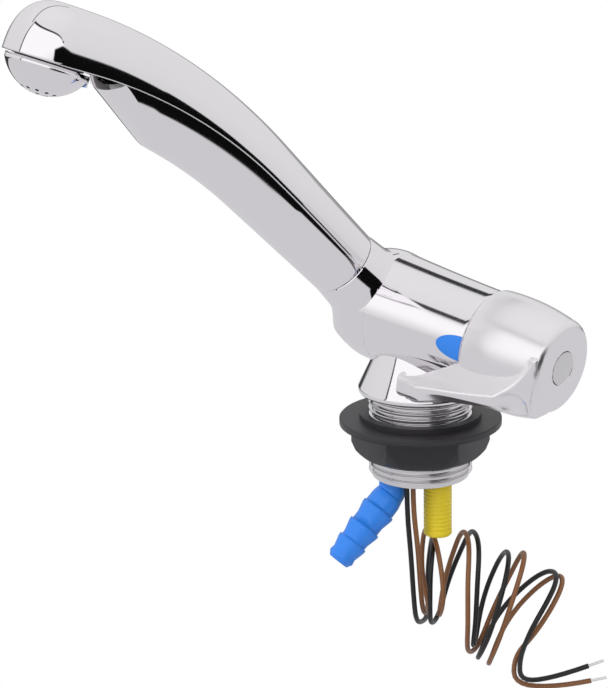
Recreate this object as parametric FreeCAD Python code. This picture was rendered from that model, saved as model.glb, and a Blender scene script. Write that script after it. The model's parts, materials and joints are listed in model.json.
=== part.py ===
"""Cold water tap with a lift-up side handle, an inclined spout, a 33 mm worktop shank and a pump switch.

Millimetres. +Z is up. The origin is the centre of the collar's underside, where the tap stands on
the worktop. The handle is at +X and the spout leans to -Y. The barrel is built level along X from
its ball end and then tilted, and the spout is built in a vertical plane and then turned.
"""

import FreeCAD, Part
import math
import os

V = FreeCAD.Vector

# Body: ball end, tilted barrel, neck and collar
ball_centre = V(-12.0, 0.0, 24.9)
ball_r = 17.5
barrel_tilt = 8.0
barrel_end = 38.2
barrel_end_r = 15.3
barrel_start = 3.5
barrel_start_r = 17.1
barrel_waist = 17.0
barrel_waist_r = 16.25
bore_r = 13.0
bore_start = 8.0
outlet_chamber_r = 8.0
collar_land = 3.1
collar_draft = 3.5
collar_height = 8.8
collar_edge = 1.4
collar_edge_round = 0.6
collar_rim = 0.9
collar_seal_width = 1.7
collar_seal_height = 1.45
marker_length = 8.2
marker_half = 3.7
marker_depth = 1.2
marker_rise = 1.2
socket_depth = 5.5
fit = 0.08
running = 0.05
face_gap = 0.3

# Threaded shank and what closes its lower end
shank_r = 16.0
thread_depth = 1.0
shank_wall = 2.0
shank_core_r = shank_r - thread_depth
shank_bore_r = shank_core_r - shank_wall
collar_r = shank_r + collar_land
collar_top_r = collar_r - collar_draft
shank_bottom = -27.0
thread_pitch = 2.0
thread_crest = 0.5
block_height = 8.0
ring_thickness = 0.95
ring_width = 1.0
ring_seat = -24.9

# Nut under the worktop
nut_flange_r = 25.0
nut_flange_top = -8.3
nut_flange_thickness = 2.0
nut_hex_corner_r = 21.4
nut_hex_height = 9.6
nut_turned = 38.8
nut_chamfer = 3.0
nut_corner_round = 1.2
nut_corner_drop = 3.4
flange_edge = 0.4
washer_r = 18.8
washer_thickness = 1.5
nut_clearance = 0.1

# Neck and spout, in the spout's own upright plane
neck_root = V(-12.8, 0.0, 24.9)
spout_turned = 20.0
neck_rise = 45.0
neck_length = 22.0
neck_seam_r = 11.1
neck_root_r = 13.4
neck_bore_r = 8.6
spout_straight = 64.0
spout_arc_r = 158.0
spout_arc_turn = 23.5
spout_head_run = 8.4
spout_half_width = 12.4
spout_widening = 30.0
head_half_width = 12.9
head_widening = 30.0
spout_top_start = 11.0
spout_top_end = 16.4
spout_swell = 1.8
spout_shoulder = 2.4
spout_bottom_start = 11.1
spout_bottom_end = 12.3
keel_rise = 0.1
parting_bow = 1.1
spout_wall = 2.2
bow_station = 99.5
bow_back = 12.0
bow_r = 24.0
head_overlap = 0.06
tube_r = 3.5
tube_wall = 0.7
tube_raise = 4.6
tube_back = 9.6
spigot_r = 8.5
spigot_bore_r = 6.4
spigot_plug_length = 6.0
clip_r = 8.9
clip_below_seam = 11.0
seal_below_seam = 5.0
clip_width = 1.0
clip_opening = 4.0

# Shower head in the spout's end
rose_r = 11.7
rose_depth = 9.2
rose_rim = 1.2
rose_wall = 1.5
rose_neck_r = 9.2
rose_hole_r = 0.55
holder_r = 10.0

# Valve and switch inside the barrel, stations along the barrel from the ball's centre
cartridge_start = 8.2
cartridge_end = 25.0
disc_r = 8.6
disc_thickness = 3.0
spindle_r = 3.6
spindle_flange_r = 8.4
spindle_flange = 3.0
spindle_end = 56.0
drive_square = 5.6
ring_end = 29.0
cam_start = 30.9
cam_width = 4.6
cam_low_r = 4.6
cam_lift = 1.2
handle_lift = 80.0
switch_width = 11.6
switch_height = 5.2
switch_top = -6.2
switch_start = 30.3
switch_length = 6.0
plunger_r = 1.2
channel_half = 2.7
channel_floor = -14.1
channel_start = 18.0

# Handle
handle_start = 38.7
handle_end = 64.2
handle_start_r = 16.2
handle_crown = 50.0
handle_crown_r = 16.2
handle_shoulder = 61.6
handle_end_r = 14.2
handle_wall = 2.6
handle_face_wall = 7.5
handle_edge_round = 2.2
blade_floor = 4.6
blade_floor_end = 2.5
blade_floor_bend = 37.0
blade_floor_level = 42.5
blade_rear = [(44.0, -3.5), (39.2, -15.3), (34.3, -16.9), (31.0, -18.0), (27.7, -19.8)]
blade_tip = [(24.4, -20.9), (21.8, -21.5), (23.6, -22.6)]
blade_front = [(29.0, -22.8), (54.0, -18.6), (63.4, -13.4), (63.4, -3.5)]
blade_top = [(-13.6, 5.5), (-15.3, -1.0), (-17.6, -6.0), (-21.2, -10.2)]
blade_nose = [(-21.2, -10.2), (-23.0, -12.6), (-22.0, -15.8)]
blade_depth = 22.0
blade_relief = [(30.0, -23.5, -12.5, -21.8, -17.5), (45.0, -21.2, -10.4, -14.3, -14.8),
                (58.0, -18.6, -9.8, -11.8, -13.8), (66.0, -16.0, -9.6, -7.5, -13.6)]
relief_reach = 14.0
scoop_centre = V(60.0, -19.4, -11.0)
scoop_r = 6.6
hub_start = 41.0
screw_head_r = 3.6
cap_r = 5.0
cap_depth = 3.0
cap_dome_r = 40.0

# Ports under the shank and what is pushed into them
inlet_port = V(-6.1, -6.0, 0)
spare_port = V(4.1, 3.4, 0)
wire_port = V(0.9, -6.6, 0)
port_r = 3.88
tail_stub_r = 3.8
inlet_tube_r = 3.0
inlet_way = V(-1.0, 0.0, 0)
tail_body_r = 4.4
tail_drop = 3.4
tail_bend_r = 5.0
tail_angle = 45.0
tail_turned = -113.0
barbs = ((5.3, 5.5, 5.0), (12.3, 5.3, 4.7), (18.2, 4.9, 4.3))
barb_land = 0.9
barb_slope = 4.4
tail_root_r = 4.9
tail_length = 25.8
tail_bore_r = 2.8
plug_r = 4.4
plug_bottom = -47.4
plug_rib_pitch = 1.3
seal_section = 0.9

# The two wires: routes as (along, out, up) in axes turned by lay_turned about Z
wire_r = 0.8
core_r = 0.45
core_length = 5.0
lay_turned = 40.7
wire_pair = 0.95
wire_way = V(7.2, 0.0, 0)
wire_way_r = 4.2
lead_sag = 0.9
grommet_top = -19.5
lead_spacing = 1.3
lead_z = -12.4
black_drop = [(-4.57, 5.59, -38), (-3.4, 5.2, -52), (-2.6, 3.6, -66), (-1.6, 0.2, -77.6), (1.5, -8.0, -80.7)]
brown_drop = [(-2.67, 5.59, -37), (-1.2, 4.9, -50), (-0.4, 3.0, -63), (0.6, -0.6, -74.4), (2.7, -8.0, -77.9)]
black_coil = [
    (1.5, -8.0, -80.7), (3.6, -18.5, -65.0), (4.4, -6.0, -51.4), (2.6, 4.6, -65.0),
    (4.7, -3.6, -78.8), (12.0, -14.6, -63.5), (17.5, -1.4, -48.4), (16.7, 9.8, -67.0),
    (16.8, 0.8, -85.4), (22.0, -10.4, -70.0), (27.3, 3.0, -53.3), (21.8, 15.0, -70.5),
    (17.8, 5.2, -87.5), (28.3, -5.0, -73.0), (41.8, 7.4, -58.5), (32.0, 19.0, -74.0),
]
brown_coil = [
    (2.7, -8.0, -77.9), (1.2, -15.2, -62.5), (3.4, -7.2, -48.7), (6.6, 5.4, -62.5),
    (6.0, -3.6, -76.4), (9.8, -11.2, -62.5), (14.6, -1.4, -48.4), (13.9, 11.0, -67.5),
    (16.2, 0.8, -87.8), (25.8, -7.0, -71.5), (32.3, 3.0, -53.4), (25.2, 14.0, -72.0),
    (21.2, 5.2, -89.7), (31.0, -4.5, -75.0), (43.8, 7.4, -59.9), (33.2, 17.0, -75.5),
]
black_tail = [
    (32.0, 19.0, -74.0), (29.6, 15.5, -83.5), (30.4, 12.0, -93.2), (42.0, 9.6, -92.9), (52.2, 9.0, -89.5),
]
brown_tail = [
    (33.2, 17.0, -75.5), (28.2, 13.2, -84.0), (28.6, 9.6, -95.2), (42.5, 8.4, -97.0), (53.2, 8.2, -95.0),
]


def cylinder(radius, start, length, direction):
    """Round bar from a point along a direction."""
    return Part.makeCylinder(radius, length, start, direction)


def bar_x(radius, x0, x1, y=0.0, z=0.0):
    """Round bar along X between two stations."""
    return Part.makeCylinder(radius, x1 - x0, V(x0, y, z), V(1, 0, 0))


def bar_z(radius, z0, z1, at=V(0, 0, 0)):
    """Upright round bar between two heights."""
    return Part.makeCylinder(radius, z1 - z0, V(at.x, at.y, z0), V(0, 0, 1))


def block(x0, x1, y0, y1, z0, z1):
    """Box between two corners."""
    return Part.makeBox(x1 - x0, y1 - y0, z1 - z0, V(x0, y0, z0))


def turned_z(profile):
    """Solid turned about Z from a closed outline of (radius, height) points."""
    points = [V(r, 0, z) for r, z in profile]
    face = Part.Face(Part.makePolygon(points + points[:1]))
    return face.revolve(V(0, 0, 0), V(0, 0, 1), 360)


def turned_x(profile):
    """Solid turned about X from a closed outline of (station, radius) points."""
    points = [V(x, 0, r) for x, r in profile]
    face = Part.Face(Part.makePolygon(points + points[:1]))
    return face.revolve(V(0, 0, 0), V(1, 0, 0), 360)


def ring_x(outer, inner, x0, x1):
    """Flat ring about X."""
    return bar_x(outer, x0, x1).cut(bar_x(inner, x0 - 1, x1 + 1))


def ring_z(outer, inner, z0, z1, at=V(0, 0, 0)):
    """Flat ring about an upright axis."""
    return bar_z(outer, z0, z1, at).cut(bar_z(inner, z0 - 1, z1 + 1, at))


def place_barrel(shape):
    """Tilt a piece built along X from the ball's centre, and move it there."""
    out = shape.copy()
    out.rotate(V(0, 0, 0), V(0, 1, 0), barrel_tilt)
    out.translate(ball_centre)
    return out


def place_spout(shape):
    """Turn a piece built in the XZ plane from the neck's root, and move it there."""
    out = shape.copy()
    out.rotate(V(0, 0, 0), V(0, 0, 1), -90.0 - spout_turned)
    out.translate(neck_root)
    return out


def spout_path(station):
    """Point and direction angle of the spout's parting line at a distance from the neck's root."""
    rise = math.radians(neck_rise)
    if station <= spout_straight:
        return V(station * math.cos(rise), 0, station * math.sin(rise)), rise
    arc_length = spout_arc_r * math.radians(spout_arc_turn)
    turn = min(station - spout_straight, arc_length) / spout_arc_r
    centre = V(spout_straight * math.cos(rise) + spout_arc_r * math.sin(rise), 0,
               spout_straight * math.sin(rise) - spout_arc_r * math.cos(rise))
    angle = rise - turn
    point = centre + V(-spout_arc_r * math.sin(angle), 0, spout_arc_r * math.cos(angle))
    rest = max(0.0, station - spout_straight - arc_length)
    return point + V(rest * math.cos(angle), 0, rest * math.sin(angle)), angle


spout_length = spout_straight + spout_arc_r * math.radians(spout_arc_turn) + spout_head_run
seam_station = neck_length + face_gap
clip_depth = neck_length - clip_below_seam
seal_station = neck_length - seal_below_seam


def spout_frame(station):
    """Point, forward direction and upward normal of the spout at a station."""
    point, angle = spout_path(station)
    return point, V(math.cos(angle), 0, math.sin(angle)), V(-math.sin(angle), 0, math.cos(angle))


def spout_depths(station):
    """How far the spout reaches above and below its parting line."""
    share = (station - neck_length) / (spout_length - neck_length)
    top = spout_top_start + (spout_top_end - spout_top_start) * share
    top += 4 * spout_swell * share ** 3 * (1 - share)
    bottom = spout_bottom_start + (spout_bottom_end - spout_bottom_start) * share
    bottom -= 4 * keel_rise * share * (1 - share)
    return top, bottom


def parting_lift(station):
    """How far the parting line bows up above the spout's path, most at mid length."""
    share = min(1.0, max(0.0, (station - neck_length) / (spout_length - neck_length)))
    return 4 * parting_bow * share * (1 - share)


def spout_half_side(station):
    """Half the spout's width, which grows from the round seam over the first part and again at the head."""
    share = min(1.0, max(0.0, (station - neck_length) / spout_widening))
    last = min(1.0, max(0.0, (station - spout_length + head_widening) / head_widening))
    return (neck_seam_r + (spout_half_width - neck_seam_r) * share
            + (head_half_width - spout_half_width) * last)


def bent(value, power):
    """Cosine or sine bent to the outline of a fuller oval; power 2 leaves it round."""
    return math.copysign(abs(value) ** (2.0 / power), value)


def shoulder_power(station):
    """How full the upper outline's shoulders are: round along the spout, fuller at the head."""
    share = min(1.0, max(0.0, (station - spout_length + 2 * head_widening) / (2 * head_widening)))
    return 2.0 + (spout_shoulder - 2.0) * share


def spout_section(station, inset):
    """Closed smooth outline of the spout at a station, drawn in by a wall."""
    point, forward, up = spout_frame(station)
    top, bottom = spout_depths(station)
    lift = parting_lift(station)
    half = spout_half_side(station)
    points = []
    power = shoulder_power(station)
    for i in range(24):
        angle = 2 * math.pi * i / 24
        upper = math.sin(angle) >= 0
        across = bent(math.cos(angle), power if upper else 2.0) * (half - inset)
        reach = top - lift - inset if upper else bottom + lift - inset
        high = lift + bent(math.sin(angle), power if upper else 2.0) * reach
        points.append(point + V(0, across, 0) + up * high)
    curve = Part.BSplineCurve()
    curve.interpolate(Points=points, PeriodicFlag=True)
    return Part.Wire([curve.toShape()])


def spout_loft(first, last, inset):
    """Solid through the spout's outlines between two stations."""
    count = 8
    stations = [first + (last - first) * i / (count - 1) for i in range(count)]
    return Part.makeLoft([spout_section(s, inset) for s in stations], True, False)


def above_parting(side):
    """Slab above (side 1) or below (side -1) the parting line, wide enough to split the spout."""
    reach = 40.0
    count = 16
    points = []
    for i in range(count + 1):
        station = neck_length + (spout_length - neck_length) * i / count
        point, forward, up = spout_frame(station)
        points.append(point + up * parting_lift(station))
    parting = Part.BSplineCurve()
    parting.interpolate(Points=points)
    start, forward0, up0 = spout_frame(0.0)
    far = points[-1] + forward * reach
    edges = [
        Part.LineSegment(start, points[0]).toShape(),
        parting.toShape(),
        Part.LineSegment(points[-1], far).toShape(),
        Part.LineSegment(far, far + up * (reach * side)).toShape(),
        Part.LineSegment(far + up * (reach * side), start + up0 * (reach * side)).toShape(),
        Part.LineSegment(start + up0 * (reach * side), start).toShape(),
    ]
    face = Part.Face(Part.Wire(edges))
    face.translate(V(0, -reach, 0))
    return face.extrude(V(0, 2 * reach, 0))


def head_dome(inset):
    """Rounded end of the spout over the shower head, turned about the outlet's axis."""
    half = head_half_width + head_overlap - inset
    height = spout_top_end + head_overlap - inset
    count = 12
    points = []
    for i in range(count + 1):
        angle = math.pi / 2 * i / count
        across = half * bent(math.cos(angle), spout_shoulder)
        points.append(V(across, 0, height * bent(math.sin(angle), spout_shoulder)))
    points[-1] = V(0, 0, height)
    curve = Part.BSplineCurve()
    curve.interpolate(Points=points, InitialTangent=V(0, 0, 1), FinalTangent=V(-1, 0, 0))
    wire = Part.Wire([
        Part.LineSegment(V(0, 0, 0), points[0]).toShape(),
        curve.toShape(),
        Part.LineSegment(points[-1], V(0, 0, 0)).toShape(),
    ])
    dome = Part.Face(wire).revolve(V(0, 0, 0), V(0, 0, 1), 360)
    return place_head(dome)


def place_head(shape):
    """Move a piece built about Z, with the rim at height 0 and the outlet downward, to the spout's end."""
    centre, forward, up = spout_frame(spout_length)
    out = shape.copy()
    angle = math.degrees(math.atan2(forward.z, forward.x))
    out.rotate(V(0, 0, 0), V(0, 1, 0), -angle)
    out.translate(centre)
    return out


def place_neck(shape):
    """Move a piece built about Z, with the root at height 0, onto the neck's axis."""
    out = shape.copy()
    out.rotate(V(0, 0, 0), V(0, 1, 0), 90.0 - neck_rise)
    return place_spout(out)


def barrel_bar(grow):
    """Barrel's outside, waisted between the ball and the handle, and grown by a distance."""
    first = V(barrel_start, 0, barrel_start_r + grow)
    last = V(barrel_end, 0, barrel_end_r + grow)
    side = Part.Arc(first, V(barrel_waist, 0, barrel_waist_r + grow), last).toShape()
    inner = V(0, 0, barrel_start_r + grow - 0.5)
    wire = Part.Wire([
        Part.LineSegment(V(0, 0, 0), inner).toShape(),
        Part.LineSegment(inner, first).toShape(),
        side,
        Part.LineSegment(last, V(barrel_end, 0, 0)).toShape(),
        Part.LineSegment(V(barrel_end, 0, 0), V(0, 0, 0)).toShape(),
    ])
    return Part.Face(wire).revolve(V(0, 0, 0), V(1, 0, 0), 360)


def marker_shape(grow):
    """Half-oval bar through the barrel's front, for the marker and its pocket."""
    length = marker_length + grow
    half = marker_half + grow
    arc = Part.Arc(Part.Ellipse(V(-length, 0, 0), V(0, 0, half), V(0, 0, 0)), -math.pi / 2, math.pi / 2)
    edge = arc.toShape()
    ends = [v.Point for v in edge.Vertexes]
    face = Part.Face(Part.Wire([edge, Part.LineSegment(ends[1], ends[0]).toShape()]))
    face.translate(V(barrel_end - 0.2 + grow, -barrel_end_r - 2 * marker_depth, marker_rise))
    return face.extrude(V(0, barrel_end_r / 2, 0))


def body_shell():
    """Chromed casting: ball end, barrel, neck and collar, hollow inside."""
    ball = Part.makeSphere(ball_r)
    neck = place_neck(Part.makeCone(neck_root_r, neck_seam_r, neck_length))
    collar = turned_z([
        (0, 0), (collar_r - collar_edge_round, 0), (collar_r, collar_edge_round), (collar_r, collar_edge),
        (collar_top_r, collar_height), (collar_top_r - 2.0, collar_height + 4.0), (0, collar_height + 4.0),
    ])
    outer = place_barrel(ball).fuse([place_barrel(barrel_bar(0.0)), neck, collar])
    hollow = [
        place_barrel(bar_x(bore_r, bore_start, barrel_end + 5)),
        place_barrel(bar_x(outlet_chamber_r, -4.0, bore_start + 1)),
        place_barrel(Part.makeSphere(clip_r + 0.7)),
        place_neck(bar_z(neck_bore_r, 0.0, neck_length + 2)),
        place_neck(bar_z(clip_r + 0.3, 0.0, clip_depth + clip_width + 0.6)),
        bar_z(shank_core_r + fit, -1.0, socket_depth),
        bar_z(inlet_tube_r + fit, socket_depth - 1, ball_centre.z - bore_r + 2.0, inlet_way),
        bar_z(wire_way_r, socket_depth - 1, 12.5, wire_way),
        place_barrel(block(channel_start, barrel_end + 5, -channel_half, channel_half, channel_floor, 0)),
        ring_z(collar_r - collar_rim, collar_r - collar_rim - collar_seal_width - 0.1,
               -1.0, collar_seal_height + 0.05),
        place_barrel(marker_shape(0.1).cut(bar_x(barrel_end_r - marker_depth - 0.05, 0, barrel_end + 5))),
    ]
    return outer.cut(hollow)


def collar_seal():
    """Flat rubber ring in the groove under the collar."""
    outer = collar_r - collar_rim - 0.05
    return ring_z(outer, outer - collar_seal_width, 0.0, collar_seal_height)


def blue_marker():
    """Half-oval plastic inlay that marks cold water, flush with the barrel's front."""
    inlay = marker_shape(0.0).common(barrel_bar(0.2))
    return place_barrel(inlay.cut(bar_x(barrel_end_r - marker_depth, 0, barrel_end + 5)))


def threaded_shank():
    """Hollow threaded stem below the worktop, with a plain spigot in the collar."""
    profile = [(shank_bore_r, socket_depth - 0.1), (shank_core_r, socket_depth - 0.1), (shank_core_r, -0.4)]
    z = -0.4
    flank = (thread_pitch - 2 * thread_crest) / 2
    while z - thread_pitch > shank_bottom + 1.2:
        profile += [(shank_r, z - flank), (shank_r, z - flank - thread_crest),
                    (shank_core_r, z - 2 * flank - thread_crest), (shank_core_r, z - thread_pitch)]
        z -= thread_pitch
    profile += [(shank_r - 0.6, z - 0.4), (shank_r - 0.6, shank_bottom + 0.5),
                (shank_r - 1.1, shank_bottom), (shank_bore_r, shank_bottom)]
    stem = turned_z(profile)
    return stem.cut(bar_z(shank_bore_r + 0.6, ring_seat - ring_thickness - 0.1, ring_seat + 0.05))


def port_block():
    """Plastic insert in the shank's foot with the inlet port, the spare port and the wires' hole."""
    top = ring_seat + block_height
    body = bar_z(shank_bore_r - fit, ring_seat, top)
    cuts = [
        bar_z(port_r, ring_seat - 1, top - 2.0, inlet_port),
        bar_z(inlet_tube_r + fit, ring_seat, top + 1, inlet_port),
        bar_z(port_r, ring_seat - 1, top - 2.0, spare_port),
        bar_z(wire_pair + wire_r + 0.5, ring_seat - 1, top + 1, wire_port),
    ]
    return body.cut(cuts)


def shank_ring():
    """Open snap ring that keeps the port block in the shank."""
    ring = ring_z(shank_bore_r + 0.5, shank_bore_r + 0.5 - ring_width,
                  ring_seat - ring_thickness, ring_seat - 0.02)
    return ring.cut(block(-2.5, 2.5, shank_bore_r - 4, shank_bore_r + 2, ring_seat - 3, ring_seat + 3))


def mounting_nut():
    """Flanged hexagon nut with rounded lower corners."""
    top = nut_flange_top
    hex_top = top - nut_flange_thickness
    corners = []
    for i in range(7):
        angle = math.radians(60 * i + nut_turned)
        corners.append(V(nut_hex_corner_r * math.cos(angle), nut_hex_corner_r * math.sin(angle), hex_top))
    hexagon = Part.Face(Part.makePolygon(corners)).extrude(V(0, 0, -nut_hex_height))
    envelope = turned_z([
        (0, hex_top + 1), (nut_hex_corner_r, hex_top + 1),
        (nut_hex_corner_r, hex_top - nut_hex_height + nut_corner_drop),
        (nut_hex_corner_r - nut_corner_round, hex_top - nut_hex_height + nut_corner_drop / 3),
        (nut_hex_corner_r - nut_chamfer, hex_top - nut_hex_height), (0, hex_top - nut_hex_height),
    ])
    flange = turned_z([
        (0, top), (nut_flange_r - flange_edge, top), (nut_flange_r, top - flange_edge),
        (nut_flange_r, hex_top), (0, hex_top),
    ])
    nut = flange.fuse(hexagon.common(envelope))
    return nut.cut(bar_z(shank_r + nut_clearance, hex_top - nut_hex_height - 1, top + 1)).removeSplitter()


def nut_washer():
    """Plain ring that lies on the nut's flange and bears on the worktop's underside."""
    return ring_z(washer_r, shank_r + nut_clearance, nut_flange_top, nut_flange_top + washer_thickness)


def spout_upper_shell():
    """Upper chromed shell of the spout with the rounded head."""
    slab = above_parting(1)
    outer = spout_loft(seam_station, spout_length, 0.0).common(slab)
    dome = head_dome(0.0)
    inner = spout_loft(seam_station - 2.0, spout_length, spout_wall)
    return place_spout(outer.fuse(dome).cut([inner, head_dome(spout_wall)]))


def bow_cut(back):
    """Everything ahead of the keel's rounded bow, set back by a distance."""
    head, forward, up = spout_frame(spout_length)
    top = head - forward * (bow_back + back)
    point, along, normal = spout_frame(bow_station - back)
    bottom = point - normal * spout_depths(bow_station)[1]
    slope = (top - bottom).normalize()
    ahead = V(slope.z, 0, -slope.x)
    reach = 2 * bow_r
    corners = [bottom - slope * reach, top + slope * reach]
    corners += [corners[1] + ahead * reach, corners[0] + ahead * reach]
    corners = [c - ahead * bow_r for c in corners]
    face = Part.Face(Part.makePolygon(corners + corners[:1]))
    face.translate(V(0, -bow_r, 0))
    ahead_of_axis = face.extrude(V(0, 2 * bow_r, 0))
    return ahead_of_axis.cut(cylinder(bow_r, corners[0] - slope * 5, 3 * reach, slope))


def spout_lower_shell():
    """Keel-shaped lower shell, closed by its bow behind the shower head."""
    slab = above_parting(-1)
    outer = spout_loft(seam_station, spout_length, 0.0).common(slab).cut(bow_cut(0.0))
    inner = spout_loft(seam_station - 2.0, spout_length, spout_wall).cut(bow_cut(spout_wall))
    return place_spout(outer.cut(inner))


def spout_spigot():
    """Plastic sleeve glued into the spout, which turns in the neck."""
    start = clip_depth - 1.5 * clip_width
    top = seam_station + spigot_plug_length
    lower = bar_z(spigot_r, start, seam_station + 0.5)
    plug = bar_z(neck_seam_r - spout_wall - 0.15, seam_station + 0.2, top)
    bore = bar_z(spigot_bore_r, start - 1, seam_station + 2.0)
    tube_hole = bar_z(tube_r + fit, seam_station, top + 1, V(-tube_raise, 0, 0))
    groove_end = seal_station + 2 * seal_section + 0.1
    groove = ring_z(spigot_r + 1, spigot_r - seal_section, seal_station, groove_end)
    clip_groove = ring_z(spigot_r + 1, clip_r - 1.2, clip_depth, clip_depth + clip_width + 0.1)
    return place_neck(lower.fuse(plug).cut([bore, tube_hole, groove, clip_groove]))


def spout_seal():
    """Rubber ring between the spout's sleeve and the neck."""
    low = seal_station + 0.05
    return place_neck(ring_z(neck_bore_r - 0.02, spigot_r - seal_section + 0.02, low, low + 2 * seal_section))


def spout_clip():
    """Snap ring that holds the spout's sleeve down in the neck."""
    ring = ring_z(clip_r, clip_r - 1.15, clip_depth + 0.05, clip_depth + 0.05 + clip_width)
    return place_neck(ring.cut(block(0, clip_r + 1, -clip_opening / 2, clip_opening / 2, 0, neck_length)))


def raised_path_edges(first, last, raise_by):
    """Line and arc of the spout's path, moved up by a distance, between two stations."""
    def at(station):
        point, forward, up = spout_frame(station)
        return point + up * raise_by
    arc_end = min(last, spout_length - spout_head_run)
    middle = (spout_straight + arc_end) / 2
    edges = [Part.LineSegment(at(first), at(spout_straight)).toShape(),
             Part.Arc(at(spout_straight), at(middle), at(arc_end)).toShape()]
    return edges


def tube_along(edges, radius):
    """Round bar along joined lines and arcs."""
    wire = Part.Wire(edges)
    start = edges[0].Curve
    direction = (edges[0].Vertexes[1].Point - edges[0].Vertexes[0].Point).normalize()
    circle = Part.Wire([Part.makeCircle(radius, edges[0].Vertexes[0].Point, direction)])
    return wire.makePipeShell([circle], True, False)


tube_first = seam_station + 2.2
tube_last = spout_length - tube_back


def water_tube():
    """Thin tube that carries the water through the spout."""
    outer = tube_along(raised_path_edges(tube_first, tube_last, tube_raise), tube_r)
    inner = tube_along(raised_path_edges(tube_first, tube_last, tube_raise), tube_r - tube_wall)
    return place_spout(outer.cut(inner))


def rose_holder():
    """Plastic seat in the head that takes the tube and the shower rose."""
    base = bar_z(holder_r, -0.2, 2.6)
    tower = bar_z(6.6, 2.0, 8.6)
    chamber = bar_z(rose_neck_r + fit, -1.0, 1.6)
    well = bar_z(5.0, 1.0, 7.2)
    solid = place_head(base.fuse(tower).cut([chamber, well]))
    end, forward, up = spout_frame(tube_last)
    start = end + up * tube_raise - forward * 6.0
    hole = cylinder(tube_r + fit, start, tube_back + 1.5, forward)
    return place_spout(solid.cut(hole))


def rose_seal():
    """Flat rubber ring above the rose's neck."""
    return place_spout(place_head(ring_z(rose_neck_r - 0.1, rose_neck_r - 2.0, 0.7, 1.55)))


def outlet_rose():
    """Domed shower plate with rings of fine holes, a short neck and a grip tab."""
    rim_top = -0.45
    rim_bottom = rim_top - rose_rim
    bulge = rose_depth + rim_bottom
    sphere_r = (rose_r ** 2 + bulge ** 2) / (2 * bulge)
    centre_z = -rose_depth + sphere_r
    cap = Part.makeSphere(sphere_r, V(0, 0, centre_z))
    cap = cap.common(bar_z(rose_r, -rose_depth - 1, rim_bottom + 0.05))
    rim = bar_z(rose_r, rim_bottom, rim_top)
    hollow = Part.makeSphere(sphere_r - rose_wall, V(0, 0, centre_z))
    hollow = hollow.common(bar_z(rose_neck_r - 1.3, -rose_depth, 2))
    neck = bar_z(rose_neck_r, -1.0, 0.6)
    tab = block(-rose_r - 0.5, -rose_r + 1.5, -2.2, 2.2, -3.6, -0.5)
    plate = cap.fuse([rim, neck, tab])
    cuts = [hollow.fuse(bar_z(rose_neck_r - 1.3, -2.2, 2))]
    for ring_r, count in ((0.0, 1), (2.6, 6), (5.2, 12)):
        for i in range(count):
            angle = 2 * math.pi * i / count
            place = V(ring_r * math.cos(angle), ring_r * math.sin(angle), 0)
            cuts.append(bar_z(rose_hole_r, -rose_depth - 1, 0, place))
    return place_spout(place_head(plate.cut(cuts)))


def cartridge_body():
    """Valve cartridge housing: side windows for the inlet, a nose for the outlet, a neck for the spindle."""
    outer = bore_r - fit
    shell = turned_x([
        (cartridge_start, 5.5), (cartridge_start, outer), (cartridge_start + 1.6, outer),
        (cartridge_start + 1.6, outer - 1.8),
        (cartridge_start + 6.6, outer - 1.8), (cartridge_start + 6.6, outer),
        (cartridge_end, outer), (cartridge_end, spindle_r + running),
        (cartridge_end - 4.6, spindle_r + running), (cartridge_end - 4.6, spindle_r + 2.3),
        (cartridge_end - 6.0, spindle_r + 2.3), (cartridge_end - 6.0, disc_r + 0.15),
        (cartridge_start + 1.0, disc_r + 0.15), (cartridge_start + 1.0, 5.5),
    ])
    windows = [block(cartridge_start + 5.2, cartridge_start + 6.4, -3.0, 3.0, -bore_r - 1, bore_r + 1)]
    wire_flat = block(cartridge_start + 6.6, cartridge_end + 1,
                      -channel_half, channel_half, -bore_r - 1, -11.0)
    return place_barrel(shell.cut(windows + [wire_flat]))


disc_start = cartridge_start + 1.05


def fixed_disc():
    """Ceramic disc that stands still, with two round ways."""
    disc = bar_x(disc_r, disc_start, disc_start + disc_thickness)
    return place_barrel(disc.cut([bar_x(1.8, 0, 30, 0, 4.4), bar_x(1.8, 0, 30, 0, -4.4)]))


def moving_disc():
    """Ceramic disc that the spindle turns over the fixed one."""
    start = disc_start + disc_thickness + 0.02
    disc = bar_x(disc_r, start, start + disc_thickness)
    return place_barrel(disc.cut([bar_x(1.8, 0, 30, 4.4, 0), bar_x(1.8, 0, 30, -4.4, 0)]))


flange_start = disc_start + 2 * disc_thickness + 0.1


def spindle():
    """Spindle with a driving flange, a round neck and a square end with a screw hole."""
    flange = bar_x(spindle_flange_r, flange_start, flange_start + spindle_flange)
    shaft = bar_x(spindle_r, flange_start, hub_start - 0.5)
    half = drive_square / 2
    square = block(hub_start - 0.6, spindle_end, -half, half, -half, half)
    solid = flange.fuse([shaft, square])
    return place_barrel(solid.cut(bar_x(1.25, spindle_end - 9.0, spindle_end + 1)))


def spindle_seal():
    """Rubber ring round the spindle, in the cartridge's throat."""
    start = flange_start + spindle_flange + 0.3
    return place_barrel(ring_x(spindle_r + 2.2, spindle_r + running, start, start + 1.6))


def cartridge_ring():
    """Screwed ring that holds the cartridge in the barrel."""
    ring = ring_x(bore_r - fit, spindle_r + 2.0, cartridge_end + 0.02, ring_end)
    slot = block(cartridge_end - 1, ring_end + 1, -channel_half, channel_half, -bore_r - 1, -11.0)
    notches = [bar_x(1.3, ring_end - 1.5, ring_end + 1, side, 3.0) for side in (9.3, -9.3)]
    holes = [bar_x(0.75, ring_end - 3.5, ring_end + 1, side * 4.6, switch_top - switch_height / 2)
             for side in (-1, 1)]
    return place_barrel(ring.cut([slot] + notches + holes))


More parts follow.
